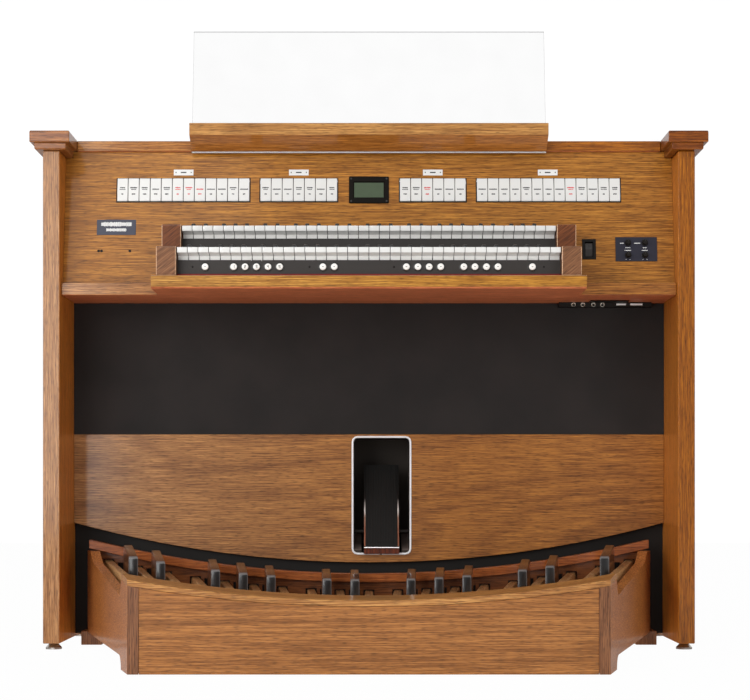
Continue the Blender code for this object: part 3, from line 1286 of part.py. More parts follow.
def build_pedalboard_front(materials):
    """The front board between the cheeks, and the dished cover that lies on all three."""
    front = BOARD_FRONT + FRONT_BOARD_INSET
    half = cheek_inner(front) - GAP
    board = arched_board(front, front + FRONT_BOARD_THICKNESS, half, lambda x: 0.0,
                         lambda x: cover_top(x, BOARD_FRONT) - COVER_THICKNESS - GAP)
    add_object("pedalboard_front", board, materials["oak"])
    soft = 0.002
    section = [(BOARD_FRONT, -COVER_THICKNESS), (COVER_REAR, -COVER_THICKNESS),
               (COVER_REAR, -soft), (COVER_REAR - soft, 0.0), (BOARD_FRONT + soft, 0.0),
               (BOARD_FRONT, -soft)]
    steps = 16
    rings = []
    for step in range(steps + 1):
        place = -1 + 2 * step / steps
        rings.append([(place * cheek_outer(y), y, cover_top(place * cheek_outer(y), y) + dz)
                      for y, dz in section])
    add_object("pedalboard_cover", loft(rings), materials["oak"])


def build_pedalboard_rear(materials):
    """The arched rail over the toes, and the slotted guide board under it."""
    def rail_bottom(x):
        return REAR_RAIL_BOTTOM + dish(x, REAR_RAIL_RADIUS)

    rail = arched_board(REAR_RAIL_FRONT, REAR_RAIL_FRONT + REAR_RAIL_DEPTH,
                        cheek_outer(REAR_RAIL_FRONT), rail_bottom,
                        lambda x: rail_bottom(x) + REAR_RAIL_HEIGHT)
    add_object("pedalboard_rear_rail", rail, materials["dark_oak"])
    board = arched_board(GUIDE_FRONT, GUIDE_FRONT + GUIDE_THICKNESS,
                         cheek_inner(GUIDE_FRONT) - GAP,
                         lambda x: GUIDE_FOOT + dish(x), lambda x: rail_bottom(x) - GAP)
    guide = add_object("pedal_guide_board", board, materials["dark_oak"])
    slots = bmesh.new()
    middle = GUIDE_FRONT + GUIDE_THICKNESS / 2
    for _, tangent, _ in pedal_sites():
        x, top = pedal_x(tangent, middle), pedal_top(tangent, middle)
        reach = PEDAL_WIDTH / 2 * math.hypot(1.0, tangent) + GUIDE_SLOT_SIDE
        low, high = top - PEDAL_HEIGHT - GUIDE_SLOT_BELOW, top + GUIDE_SLOT_ABOVE
        box((x - reach, GUIDE_FRONT - 0.01, low),
            (x + reach, GUIDE_FRONT + GUIDE_THICKNESS + 0.01, high), slots)
    cut(guide, slots)


def main():
    clear_scene()
    frame = bpy.data.objects.new("organ_frame", None)
    frame.location = (0, FRAME_SHIFT, 0)
    bpy.context.scene.collection.objects.link(frame)
    materials = make_materials()
    build_side_panels(materials)
    build_feet(materials)
    build_caps(materials)
    build_top_panel(materials)
    build_stop_panel(materials)
    build_shelf(materials)
    build_knee_side(materials)
    build_shoe_housing(materials)
    build_swell_shoe(materials)
    build_manuals(materials)
    build_key_cheeks(materials)
    build_slips(materials)
    build_tabs(materials)
    build_display(materials)
    build_switch(materials)
    build_control_plate(materials)
    build_jack_panel(materials)
    build_music_desk(materials)
    build_inside(materials)
    build_pedals(materials)
    build_pedalboard_cheeks(materials)
    build_pedalboard_front(materials)
    build_pedalboard_rear(materials)


main()
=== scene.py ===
import json
import math
import random

import bmesh
import bpy
from mathutils import Matrix, Vector


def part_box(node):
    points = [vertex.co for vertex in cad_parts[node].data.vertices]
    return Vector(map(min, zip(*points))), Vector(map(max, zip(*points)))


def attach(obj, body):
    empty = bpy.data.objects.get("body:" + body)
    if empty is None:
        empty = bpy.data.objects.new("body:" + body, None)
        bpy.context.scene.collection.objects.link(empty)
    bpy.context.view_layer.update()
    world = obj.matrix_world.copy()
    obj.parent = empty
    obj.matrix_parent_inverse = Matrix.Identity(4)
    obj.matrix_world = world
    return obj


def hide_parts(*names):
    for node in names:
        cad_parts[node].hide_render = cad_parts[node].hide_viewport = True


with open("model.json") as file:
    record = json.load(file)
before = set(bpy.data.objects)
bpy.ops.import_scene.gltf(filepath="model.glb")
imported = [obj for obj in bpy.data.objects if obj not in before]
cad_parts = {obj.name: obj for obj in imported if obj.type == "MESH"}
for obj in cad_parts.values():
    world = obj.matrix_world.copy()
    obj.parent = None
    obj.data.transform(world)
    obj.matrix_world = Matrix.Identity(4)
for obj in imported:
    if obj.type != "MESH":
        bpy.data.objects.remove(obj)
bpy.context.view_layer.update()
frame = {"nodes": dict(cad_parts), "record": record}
nodes = frame["nodes"]
body_of_node = {node: body for body, members in frame["record"]["behaviour"]["bodies"].items()
                for node in members}

FRONT = 0.0495          # depth of the side panels' front plane
GAP = 0.0003            # clearance between pieces that seat on each other
MANUAL_HALF = 0.4202    # half the width of the key frames and of the piston rail
DESK_TOP = 0.8303


# Materials

def srgb(red, green, blue):
    """Linear colour of an 8-bit sRGB triple."""
    parts = (value / 255 for value in (red, green, blue))
    return (*(p / 12.92 if p <= 0.04045 else ((p + 0.055) / 1.055) ** 2.4 for p in parts), 1.0)


def grey(level):
    return (level, level, level, 1.0)


class Painter:
    """A new material with short calls for its nodes and links."""

    def __init__(self, name, **sockets):
        self.material = bpy.data.materials.new(name)
        self.material.use_nodes = True
        self.tree = self.material.node_tree
        self.shader = self.tree.nodes["Principled BSDF"]
        for socket, value in sockets.items():
            self.shader.inputs[socket.replace("_", " ")].default_value = value

    def node(self, kind, **settings):
        made = self.tree.nodes.new("ShaderNode" + kind)
        for key, value in settings.items():
            setattr(made, key, value)
        return made

    def link(self, output, target):
        self.tree.links.new(output, target)

    def coords(self):
        return self.node("TexCoord").outputs["Object"]

    def stretched(self, coords, scale, offset=0.0):
        mapping = self.node("Mapping")
        mapping.inputs["Scale"].default_value = scale
        mapping.inputs["Location"].default_value = (offset, offset * 1.7, offset * 0.6)
        self.link(coords, mapping.inputs["Vector"])
        return mapping.outputs["Vector"]

    def noise(self, vector, scale=1.0, detail=3.0, distortion=0.0):
        made = self.node("TexNoise")
        for socket, value in (("Scale", scale), ("Detail", detail), ("Distortion", distortion)):
            made.inputs[socket].default_value = value
        self.link(vector, made.inputs["Vector"])
        return made.outputs["Fac"]

    def ramp(self, value, *stops):
        made = self.node("ValToRGB")
        elements = made.color_ramp.elements
        while len(elements) < len(stops):
            elements.new(0.5)
        for element, (place, colour) in zip(elements, stops):
            element.position = place
            element.color = colour
        self.link(value, made.inputs["Fac"])
        return made.outputs["Color"]

    def maths(self, operation, *values):
        made = self.node("Math", operation=operation)
        for index, value in enumerate(values):
            if isinstance(value, (int, float)):
                made.inputs[index].default_value = value
            else:
                self.link(value, made.inputs[index])
        return made.outputs["Value"]

    def mix(self, factor, first, second, blend="MIX"):
        made = self.node("Mix", data_type="RGBA", blend_type=blend)
        for socket, value in zip((made.inputs[0], made.inputs[6], made.inputs[7]),
                                 (factor, first, second)):
            if isinstance(value, (int, float, tuple)):
                socket.default_value = value
            else:
                self.link(value, socket)
        return made.outputs[2]

    def bump(self, height, distance, strength=1.0):
        made = self.node("Bump")
        made.inputs["Strength"].default_value = strength
        made.inputs["Distance"].default_value = distance
        self.link(height, made.inputs["Height"])
        self.link(made.outputs["Normal"], self.shader.inputs["Normal"])

    def colour(self, output):
        self.link(output, self.shader.inputs["Base Color"])


# Waves per metre across and along the grain, and a shift of the pattern
STREAKS, BANDS = (560.0, 12.0, 3.1), (38.0, 1.2, 7.7)
PORES, FIGURE = (600.0, 52.0, 1.3), (5.0, 0.62, 0.0)
STREAK_SHARE, BAND_SHARE = 0.85, 0.15
FIGURE_RINGS = 11.0
PORE_DEPTH = 0.00010


def wood(name, dark, light, grain, offset, roughness=0.42, coat=0.45, figure=0.0, turn=0.0,
         fade=None):
    """Lacquered oak veneer: broad bands, fine streaks, short dark pores, perhaps a figure.

    The grain may be turned in the front plane. The last argument, if given, paints shade on the
    veneer towards the right, by that share of each channel, for light that falls from the left.
    """
    paint = Painter(name, Roughness=roughness, Specular_IOR_Level=0.2, Coat_Weight=coat,
                    Coat_Roughness=0.12)
    coords = paint.coords()
    split = paint.node("SeparateXYZ")
    paint.link(coords, split.inputs["Vector"])
    if turn:
        rotated = paint.node("VectorRotate", rotation_type="Y_AXIS")
        rotated.inputs["Angle"].default_value = math.radians(turn)
        paint.link(coords, rotated.inputs["Vector"])
        coords = rotated.outputs["Vector"]

    def along(across, run, shift):
        scale = [across] * 3
        scale["XYZ".index(grain)] = run
        return paint.stretched(coords, scale, offset + shift)

    streaks = paint.noise(along(*STREAKS), detail=2.0)
    bands = paint.noise(along(*BANDS), detail=3.0, distortion=0.2)
    tone = paint.maths("ADD", paint.maths("MULTIPLY", streaks, STREAK_SHARE),
                       paint.maths("MULTIPLY", bands, BAND_SHARE))
    if figure:
        field = paint.noise(along(*FIGURE), detail=1.0, distortion=0.25)
        ring = paint.maths("FRACT", paint.maths("MULTIPLY", field, FIGURE_RINGS))
        shade = paint.ramp(ring, (0.0, grey(0.5)), (0.55, grey(0.62)), (0.86, grey(0.34)),
                           (0.93, grey(0.42)), (1.0, grey(0.5)))
        tone = paint.maths("ADD", tone, paint.maths(
            "MULTIPLY", paint.maths("SUBTRACT", shade, 0.5), figure))
    middle = tuple((a * b) ** 0.5 for a, b in zip(dark, light))
    body = paint.ramp(tone, (0.36, dark), (0.50, middle), (0.64, light))
    pores = paint.noise(along(*PORES), detail=1.0)
    mask = paint.ramp(pores, (0.30, grey(0.55)), (0.46, grey(1.0)), (0.66, grey(1.10)))
    finish = paint.mix(1.0, body, mask, "MULTIPLY")
    # Painted shade: darker towards the right, standing in for light that falls from the left.
    if fade:
        share = paint.maths("ADD", paint.maths("MULTIPLY", split.outputs["X"], 0.75), 0.5)
        painted_shade = paint.ramp(share, (0.0, grey(1.0)), (0.65, (*fade, 1.0)))
        finish = paint.mix(1.0, finish, painted_shade, "MULTIPLY")
    paint.colour(finish)
    paint.bump(pores, PORE_DEPTH, 0.4)
    return paint.material


def speckled(name, colour, spread, scale, bump, **sockets):
    """A plain finish whose tone varies a little, with a fine orange-peel or grain."""
    paint = Painter(name, **sockets)
    vector = paint.coords()
    fine = paint.noise(vector, scale, 2.0)
    slow = paint.noise(vector, 6.0, 3.0)
    tone = paint.mix(0.5, fine, slow)
    low = tuple(c * (1 - spread) for c in colour[:3]) + (1.0,)
    high = tuple(min(1.0, c * (1 + spread)) for c in colour[:3]) + (1.0,)
    paint.colour(paint.ramp(tone, (0.3, low), (0.7, high)))
    if bump:
        paint.bump(fine, bump)
    return paint.material


def metal(name, colour, roughness, metallic):
    """Polished metal with fine level lines."""
    paint = Painter(name, Metallic=metallic)
    lines = paint.noise(paint.stretched(paint.coords(), (40.0, 40.0, 900.0)))
    low = tuple(c * 0.9 for c in colour[:3]) + (1.0,)
    paint.colour(paint.ramp(lines, (0.3, low), (0.7, colour)))
    paint.link(paint.ramp(lines, (0.2, grey(roughness * 0.8)), (0.8, grey(roughness * 1.2))),
               paint.shader.inputs["Roughness"])
    return paint.material


def painted_light_metal(name, *stops):
    """Polished edge whose tone changes with its level, with painted glint and shade; stops are
    (level, colour).
    """
    paint = Painter(name, Metallic=0.85, Roughness=0.34)
    split = paint.node("SeparateXYZ")
    paint.link(paint.coords(), split.inputs["Vector"])
    # Noise wobbles the borders of the painted bands.
    band_wobble = paint.noise(paint.coords(), 260.0, 2.0)
    level = paint.maths("ADD", split.outputs["Z"], paint.maths("MULTIPLY", band_wobble, 0.004))
    first, last = stops[0][0], stops[-1][0]
    span = paint.maths("DIVIDE", paint.maths("SUBTRACT", level, first), last - first)
    paint.colour(paint.ramp(span, *(((z - first) / (last - first), colour)
                                    for z, colour in stops)))
    return paint.material


def cloth_weave(name, dark, light, pitch=0.0014):
    """Plain weave seen from the front: two crossed sets of threads."""
    paint = Painter(name, Roughness=0.85, Sheen_Weight=0.25, Sheen_Roughness=0.5)
    split = paint.node("SeparateXYZ")
    paint.link(paint.coords(), split.inputs["Vector"])
    waves = []
    for axis in ("X", "Z"):
        turns = paint.maths("MULTIPLY", split.outputs[axis], 2 * math.pi / pitch)
        waves.append(paint.maths("SINE", turns))
    weave = paint.maths("MULTIPLY", *waves)
    slow = paint.noise(paint.coords(), 9.0, 4.0)
    level = paint.maths("ADD", paint.maths("MULTIPLY", weave, 0.22), slow)
    paint.colour(paint.ramp(level, (0.25, dark), (0.85, light)))
    paint.bump(weave, 0.0002, 0.6)
    return paint.material


# Each wood: dark and light tone, grain axis, pattern shift and what else differs
WOODS = {
    # The left post is a paler copy of the right post's wood: painted sheen from the light on the
    # left.
    "post_left_sheen": ((129, 82, 43), (188, 137, 88), "Z", 0.0),
    "post_right": ((117, 60, 5), (171, 101, 16), "Z", 2.3),
    "panel": ((124, 74, 21), (193, 130, 50), "X", 4.1),
    # The last triple in the options of knee, top, cap, desk and shelf is painted shade to the
    # right.
    "knee": ((122, 81, 49), (190, 139, 87), "X", 9.4, dict(figure=0.35, fade=(0.95, 0.75, 0.36))),
    "top": ((126, 76, 35), (194, 134, 71), "X", 6.2, dict(fade=(0.86, 0.64, 0.18))),
    "cap": ((112, 61, 26), (172, 109, 53), "X", 1.2, dict(fade=(0.76, 0.56, 0.14))),
    "desk": ((144, 96, 40), (209, 157, 80), "X", 5.5, dict(figure=0.2, fade=(0.93, 0.82, 0.44))),
    "ledge": ((145, 96, 47), (199, 145, 80), "X", 21.3, dict(figure=0.35)),
    "shelf": ((124, 78, 44), (191, 137, 85), "X", 19.1, dict(fade=(0.98, 0.82, 0.40))),
    "cheek_upper": ((91, 48, 21), (129, 72, 36), "X", 3.3, dict(turn=38.0)),
    "cheek_lower": ((105, 67, 42), (147, 102, 70), "X", 5.3, dict(turn=38.0)),
    # Undersides take this redder, brighter copy of the wood: painted light and shade under the
    # boards.
    "soffit": ((175, 95, 58), (226, 137, 91), "X", 2.2, dict(coat=0.1)),
    # Inner faces of the side panels: a brighter copy of the post wood, painted light on faces in
    # shade.
    "post_inner_lit": ((169, 97, 32), (222, 140, 53), "Z", 6.6, dict(coat=0.3)),
    # A darker copy of the ledge wood for its sloping underside: painted shade.
    "ledge_slant_shade": ((132, 76, 26), (198, 128, 58), "X", 21.3),
    # A pale wood for bevels: painted highlight on lit edges.
    "edge_highlight": ((176, 132, 98), (226, 186, 150), "X", 3.9),
    "rear_rail": ((120, 58, 20), (176, 100, 46), "X", 25.1),
    # Dark wood for the guide board: painted shade under the rail above it.
    "guide": ((88, 46, 20), (126, 72, 34), "X", 27.7),
    "rail": ((96, 50, 22), (150, 88, 44), "X", 8.8),
    "board": ((124, 75, 32), (174, 114, 58), "X", 11.7, dict(figure=0.5)),
    "board_end": ((99, 59, 34), (141, 93, 59), "Z", 18.2),
    "board_side": ((131, 75, 35), (200, 128, 68), "Y", 12.9),
    "cover": ((134, 83, 38), (200, 145, 82), "X", 14.2, dict(figure=0.4)),
    "pedal": ((168, 120, 74), (220, 176, 122), "Y", 15.5, dict(coat=0.3)),
    "sharp_block": ((72, 44, 30), (112, 76, 58), "Y", 17.7, dict(roughness=0.30, coat=0.8)),
    "shoe": ((64, 21, 2), (119, 47, 6), "Z", 16.1, dict(roughness=0.30, coat=0.5)),
}
# Each plain finish: tone and its spread, size and height of its grain, roughness and what
# else differs
PAINTS = {
    # Pale grey for the rounded rims of the pedal sharps' fronts: a painted highlight.
    "sharp_rim_highlight": ((104, 98, 96), 0.12, 900.0, 0.00002, 0.4),
    "sharp_face": ((20, 19, 20), 0.1, 900.0, 0.00002, 0.3,
                   dict(Coat_Weight=0.5, Coat_Roughness=0.1)),
    "chipboard": ((150, 112, 78), 0.25, 500.0, 0.0001, 0.85),
    "ivory": ((224, 223, 220), 0.012, 300.0, 0.0, 0.22,
              dict(Coat_Weight=0.4, Coat_Roughness=0.08)),
    # Brighter than the ivory: painted light in the shade under the naturals' lips; also the
    # pistons' white.
    "key_body": ((250, 248, 244), 0.03, 300.0, 0.00001, 0.5),
    "sharp": ((26, 25, 25), 0.1, 700.0, 0.00001, 0.28, dict(Coat_Weight=0.3, Coat_Roughness=0.1)),
    "black": ((24, 20, 17), 0.1, 1200.0, 0.00003, 0.45, dict(Specular_IOR_Level=0.2)),
    "well": ((24, 20, 17), 0.1, 900.0, 0.00003, 0.55, dict(Specular_IOR_Level=0.25)),
    "housing": ((62, 54, 47), 0.1, 900.0, 0.00003, 0.6, dict(Specular_IOR_Level=0.25)),
    "bezel": ((15, 9, 4), 0.1, 1200.0, 0.00003, 0.5, dict(Specular_IOR_Level=0.12)),
    "charcoal": ((56, 52, 50), 0.06, 1500.0, 0.00003, 0.5, dict(Specular_IOR_Level=0.3)),
    "rocker": ((50, 45, 42), 0.06, 900.0, 0.00002, 0.35),
    "plate": ((44, 43, 54), 0.06, 1500.0, 0.00002, 0.42, dict(Specular_IOR_Level=0.25)),
    "rubber": ((22, 20, 18), 0.15, 700.0, 0.00008, 0.6, dict(Specular_IOR_Level=0.25)),
    "felt": ((120, 22, 22), 0.2, 1800.0, 0.0001, 0.95, dict(Sheen_Weight=0.5)),
    "sill": ((118, 103, 96), 0.08, 700.0, 0.00002, 0.55),
    "mark_black": ((16, 15, 15), 0.1, 900.0, 0.0, 0.5),
    "mark_red": ((206, 26, 28), 0.1, 900.0, 0.0, 0.5),
    "mark_white": ((228, 228, 226), 0.03, 900.0, 0.0, 0.5),
    "screen": ((70, 84, 62), 0.08, 60.0, 0.0, 0.18, dict(Coat_Weight=0.6, Coat_Roughness=0.05)),
    "grey_plate": ((60, 62, 76), 0.05, 1400.0, 0.0, 0.4),
}
# Each metal: tone, roughness and share of metal
METALS = {
    # Nearly white and barely metallic: painted reflection, standing for chrome that mirrors a white
    # room.
    "chrome": ((252, 253, 255), 0.22, 0.08),
    "steel": ((196, 192, 186), 0.32, 1.0),
    "nickel": ((246, 240, 226), 0.25, 0.35),
    "brass": ((176, 120, 84), 0.30, 1.0),
    "bright": ((244, 244, 244), 0.30, 1.0),
}

materials = {}
for name, (dark, light, grain, offset, *options) in WOODS.items():
    materials[name] = wood(name, srgb(*dark), srgb(*light), grain, offset,
                           **(options[0] if options else {}))
for name, (tone, spread, scale, bump, roughness, *options) in PAINTS.items():
    materials[name] = speckled(name, srgb(*tone), spread, scale, bump, Roughness=roughness,
                               **(options[0] if options else {}))
for name, (tone, roughness, share) in METALS.items():
    materials[name] = metal(name, srgb(*tone), roughness, share)
materials["cloth"] = cloth_weave("cloth", srgb(19, 16, 15), srgb(37, 31, 29))
# Shoe edges: copper below, a pale painted glint near 0.318 and painted shade at the top.
materials["shoe_edge"] = painted_light_metal(
    "shoe_edge", (0.270, srgb(116, 72, 54)), (0.300, srgb(138, 104, 88)),
    (0.318, srgb(214, 208, 202)), (0.345, srgb(40, 36, 34)))


def clear_acrylic():
    """Nearly clear sheet with faint polish marks."""
    paint = Painter("acrylic", Roughness=0.02, IOR=1.49, Transmission_Weight=1.0)
    haze = paint.noise(paint.coords(), 14.0, 3.0)
    paint.colour(paint.ramp(haze, (0.3, grey(0.965)), (0.7, grey(0.985))))
    return paint.material


materials["acrylic"] = clear_acrylic()


# Mesh helpers

def add_material(obj, material):
    """Append a material and say in which place it is."""
    obj.data.materials.append(materials[material])
    return len(obj.data.materials) - 1


def dressed(node):
    """The piece that stands for a CAD node."""
    return bpy.data.objects[node + "_finish"]


def finish_mesh(name, bm, material, body="console", replaces=(), smooth=35.0,
                bevel=0.0, segments=2):
    """Turn a bmesh into a piece that rides on a body; without a body it stays on the stage."""
    bmesh.ops.recalc_face_normals(bm, faces=bm.faces)
    mesh = bpy.data.meshes.new(name)
    bm.to_mesh(mesh)
    bm.free()
    mesh.shade_smooth()
    mesh.set_sharp_from_angle(angle=math.radians(smooth))
    obj = bpy.data.objects.new(name, mesh)
    bpy.context.scene.collection.objects.link(obj)
    add_material(obj, material)
    if bevel:
        soften(obj, bevel, segments)
    if body:
        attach(obj, body)
    if replaces:
        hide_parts(*replaces)
    return obj


def level_normals(obj):
    """Keep broad faces flat in shading beside their narrow bevels."""
    weigh = obj.modifiers.new("normals", "WEIGHTED_NORMAL")
    weigh.weight = 80
    weigh.keep_sharp = True
    return obj


def soften(obj, width, segments):
    bevel = obj.modifiers.new("edges", "BEVEL")
    bevel.width, bevel.segments, bevel.limit_method = width, segments, "ANGLE"
    bevel.angle_limit = math.radians(30.0)
    level_normals(obj)


def box(bm, low, high, matrix=None):
    middle = [(a + b) / 2 for a, b in zip(low, high)]
    size = [b - a for a, b in zip(low, high)]
    placed = Matrix.Translation(middle) @ Matrix.Diagonal((*size, 1.0))
    bmesh.ops.create_cube(bm, size=1.0, matrix=(matrix or Matrix()) @ placed)
    return bm


def loft(bm, rings, closed=False):
    """Skin rings with the same number of points; they close on themselves or get end faces."""
    rows = [[bm.verts.new(point) for point in ring] for ring in rings]
    count = len(rows[0])
    for first, second in zip(rows, rows[1:] + rows[:1] * closed):
        for i in range(count):
            j = (i + 1) % count
            bm.faces.new((first[i], first[j], second[j], second[i]))
    if not closed:
        bm.faces.new(list(reversed(rows[0])))
        bm.faces.new(rows[-1])
    return bm


def lathe(bm, profile, matrix=None, steps=28):
    """Turn (radius, height) points about Z; both ends are closed by flat discs."""
    matrix = matrix or Matrix()
    rings = []
    for radius, height in profile:
        turns = (2 * math.pi * step / steps for step in range(steps))
        rings.append([matrix @ Vector((radius * math.cos(turn), radius * math.sin(turn), height))
                      for turn in turns])
    return loft(bm, rings)


def both_sides(near, far, middle=0.0):
    """The spans from a near to a far distance on the left and the right of a middle."""
    return (middle - far, middle - near), (middle + near, middle + far)


def clean_copy(node):
    """A bmesh of a CAD node with its flat faces whole again."""
    bm = bmesh.new()
    bm.from_mesh(nodes[node].data)
    bmesh.ops.remove_doubles(bm, verts=bm.verts, dist=0.00001)
    bmesh.ops.dissolve_limit(bm, angle_limit=math.radians(0.4), verts=bm.verts, edges=bm.edges)
    return bm


def dress(node, material, bevel=0.0008, segments=2, smooth=35.0):
    """Stand a piece of the same shape with softened edges and a finish for a CAD node."""
    obj = finish_mesh(node + "_finish", clean_copy(node), material, body_of_node[node],
                      (node,), smooth, bevel, segments)
    return obj if bevel else level_normals(obj)


def highlight_edge(node, material, level, width):
    """A painted highlight: a soft, paler edge where a board's front meets its top at a level."""
    obj = dressed(node)
    obj.modifiers.clear()
    mesh = obj.data
    weight = mesh.attributes.new("bevel_weight_edge", "FLOAT", "EDGE")
    front = min(vertex.co.y for vertex in mesh.vertices)
    for edge in mesh.edges:
        ends = [mesh.vertices[index].co for index in edge.vertices]
        near = all(abs(end.z - level) < 0.0005 and end.y < front + 0.02 for end in ends)
        weight.data[edge.index].value = 1.0 if near else 0.0
    bevel = obj.modifiers.new("edges", "BEVEL")
    bevel.width, bevel.segments, bevel.limit_method = width, 2, "WEIGHT"
    bevel.material = add_material(obj, material)
    level_normals(obj)


# Case

for node, material, bevel in (
        ("left_side_panel", "post_left_sheen", 0.0012), ("right_side_panel", "post_right", 0.0012),
        ("top_panel", "top", 0.0), ("shelf_board", "shelf", 0.0), ("key_desk", "desk", 0.0),
        ("stop_panel", "panel", 0.0005), ("knee_panel", "knee", 0.0008),
        ("toe_panel", "well", 0.0), ("back_panel", "chipboard", 0.001),
        ("left_lower_cheek", "cheek_lower", 0.0018), ("right_lower_cheek", "cheek_lower", 0.0018),
        ("left_upper_cheek", "cheek_upper", 0.0018), ("right_upper_cheek", "cheek_upper", 0.0018),
        ("music_ledge", "ledge", 0.0006), ("upper_key_slip", "charcoal", 0.0),
        ("pedalboard_cover", "cover", 0.0006), ("pedalboard_front", "board", 0.0008),
        ("pedalboard_left_cheek", "board_side", 0.0008),
        ("pedalboard_right_cheek", "board_side", 0.0008),
        ("pedalboard_rear_rail", "rear_rail", 0.0010), ("pedal_guide_board", "guide", 0.0005),
        ("sound_module", "charcoal", 0.0005), ("shoe_pin", "well", 0.0003)):
    dress(node, material, bevel)

UNDERSIDE, TO_PLAYER = Vector((0, 0, -1)), Vector((0, -1, 0))


def paint_facing(obj, material, direction, limit=0.7):
    """Give the faces that look one way a material of their own."""
    number = add_material(obj, material)
    for polygon in obj.data.polygons:
        if polygon.normal.dot(direction) > limit:
            polygon.material_index = number


# Painted light and shade: undersides of desk, shelf and top take their own redder, brighter wood.
for node in ("key_desk", "shelf_board", "top_panel"):
    paint_facing(dressed(node), "soffit", UNDERSIDE)
# Painted highlight along the front top edge of the desk and the shelf.
for node in ("key_desk", "shelf_board"):
    highlight_edge(node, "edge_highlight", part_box(node)[1].z, 0.0012)
# Painted shade: the ledge's faces that look down towards the player take a darker copy of its wood.
paint_facing(dressed("music_ledge"), "ledge_slant_shade", Vector((0, -0.7, -0.7)), 0.8)
# Painted highlight: the key cheeks' bevels take a pale wood.
for node in ("left_lower_cheek", "right_lower_cheek", "left_upper_cheek", "right_upper_cheek"):
    dressed(node).modifiers["edges"].material = add_material(dressed(node), "edge_highlight")
for side, inward in (("left", 1), ("right", -1)):
    paint_facing(dressed(f"pedalboard_{side}_cheek"), "board_end", TO_PLAYER)
    # Painted light: the side panels' inward faces take a brighter copy of their wood.
    paint_facing(dressed(f"{side}_side_panel"), "post_inner_lit", Vector((inward, 0, 0)))

# CAD pieces that stay, with a better finish
for material, members in (
        ("steel", ("front_left_foot", "front_right_foot", "rear_left_foot", "rear_right_foot")),
        ("charcoal", ("left_speaker", "right_speaker")), ("housing", ("shoe_housing",)),
        ("cloth", ("speaker_grille",)), ("acrylic", ("music_pane",))):
    for node in members:
        nodes[node].data.materials.clear()
        nodes[node].data.materials.append(materials[material])

for node in ("left_cap", "right_cap"):
    dress(node, "cap", 0.0015, 3)


# Stop panel: local frame and what stands on it

PANEL_FOOT = (FRONT + 0.045, 0.836)         # depth and level of the panel's lower edge
PANEL_HEAD = (FRONT + 0.092, 1.1475)
LEAN = math.atan2(PANEL_HEAD[0] - PANEL_FOOT[0], PANEL_HEAD[1] - PANEL_FOOT[1])


def on_panel(x, level, out=0.0):
    """Frame on the stop panel: X across, Y into it, Z up along it."""
    depth = PANEL_FOOT[0] + (level - PANEL_FOOT[1]) * math.tan(LEAN)
    turned = Matrix.Translation((x, depth, level)) @ Matrix.Rotation(-LEAN, 4, "X")
    return turned @ Matrix.Translation((0, -out, 0))


OUTWARD = Matrix.Rotation(math.pi / 2, 4, "X")      # turns +Z to face the player


def plate(bm, place, width, height, thickness, x=0.0, z=0.0, proud=0.0):
    """A thin tile that stands proud of a face: local X and Z are its sides."""
    box(bm, (x - width / 2, -proud - thickness, z - height / 2),
        (x + width / 2, -proud, z + height / 2), place)


MARK = 0.0002       # how far a printed mark stands proud
TAB_PITCH, TAB_GAP = 0.02553, 0.0013
TAB_BANKS = ((-0.5819, 12), (-0.2513, 7), (0.0710, 6), (0.2490, 13))
TAB_HEAD, TAB_FOOT = 1.0839, 1.0303
TAB_PROUD = 0.0040
TAB_MIDDLE = (TAB_HEAD + TAB_FOOT) / 2
TAB_HEIGHT = (TAB_HEAD - TAB_FOOT) / math.cos(LEAN)
MOVING_TABS = {(0, 6): ("tab_1", "stop_tab_1"), (3, 4): ("tab_2", "stop_tab_2")}
RED_TABS = {(0, 5), (0, 6), (0, 7), (2, 2), (3, 8)}
LABEL_SEED = 7


def tab_shape(bm, place):
    """A rocker tab: its head and foot slope away from a soft ridge below the middle."""
    half, tall = (TAB_PITCH - TAB_GAP) / 2, TAB_HEIGHT / 2
    soft = 0.0011
    section = [(0.0009, -tall), (-TAB_PROUD + 0.0016, -tall), (-TAB_PROUD + 0.0006, -tall + soft),
               (-TAB_PROUD, -tall * 0.22), (-TAB_PROUD + 0.0006, tall - soft),
               (-TAB_PROUD + 0.0016, tall), (0.0009, tall)]
    rings = []
    for x, inset in ((-half, 0.0009), (-half + 0.0008, 0.0), (half - 0.0008, 0.0), (half, 0.0009)):
        ring = []
        for y, z in section:
            shrink = inset if y < 0 else 0.0
            ring.append(place @ Vector((x, y + shrink, z * (1 - shrink / tall))))
        rings.append(ring)
    return loft(bm, rings)


def word(bm, place, width, height, level, lift, draw, centre=0.0):
    """A row of strokes that stands for a word and spells nothing."""
    x = -width / 2
    while x < width / 2 - 0.0006:
        stroke = min(draw.uniform(0.0012, 0.0024), width / 2 - x)
        tall = height * draw.uniform(0.7, 1.0)
        plate(bm, place, stroke, tall, MARK, centre + x + stroke / 2, level, lift)
        x += stroke + draw.uniform(0.0002, 0.0004)


def tab_marks(bm, place, draw):
    """Strokes where a tab's name and pitch would stand."""
    lift = TAB_PROUD - 0.0003
    if draw.random() < 0.35:
        word(bm, place, draw.uniform(0.011, 0.016), 0.0032, 0.0044, lift, draw)
        word(bm, place, draw.uniform(0.010, 0.014), 0.0032, -0.0002, lift, draw)
    else:
        word(bm, place, draw.uniform(0.014, 0.019), 0.0036, 0.0006, lift, draw)
    word(bm, place, draw.choice((0.0050, 0.0078)), 0.0066, -0.0094, lift, draw)


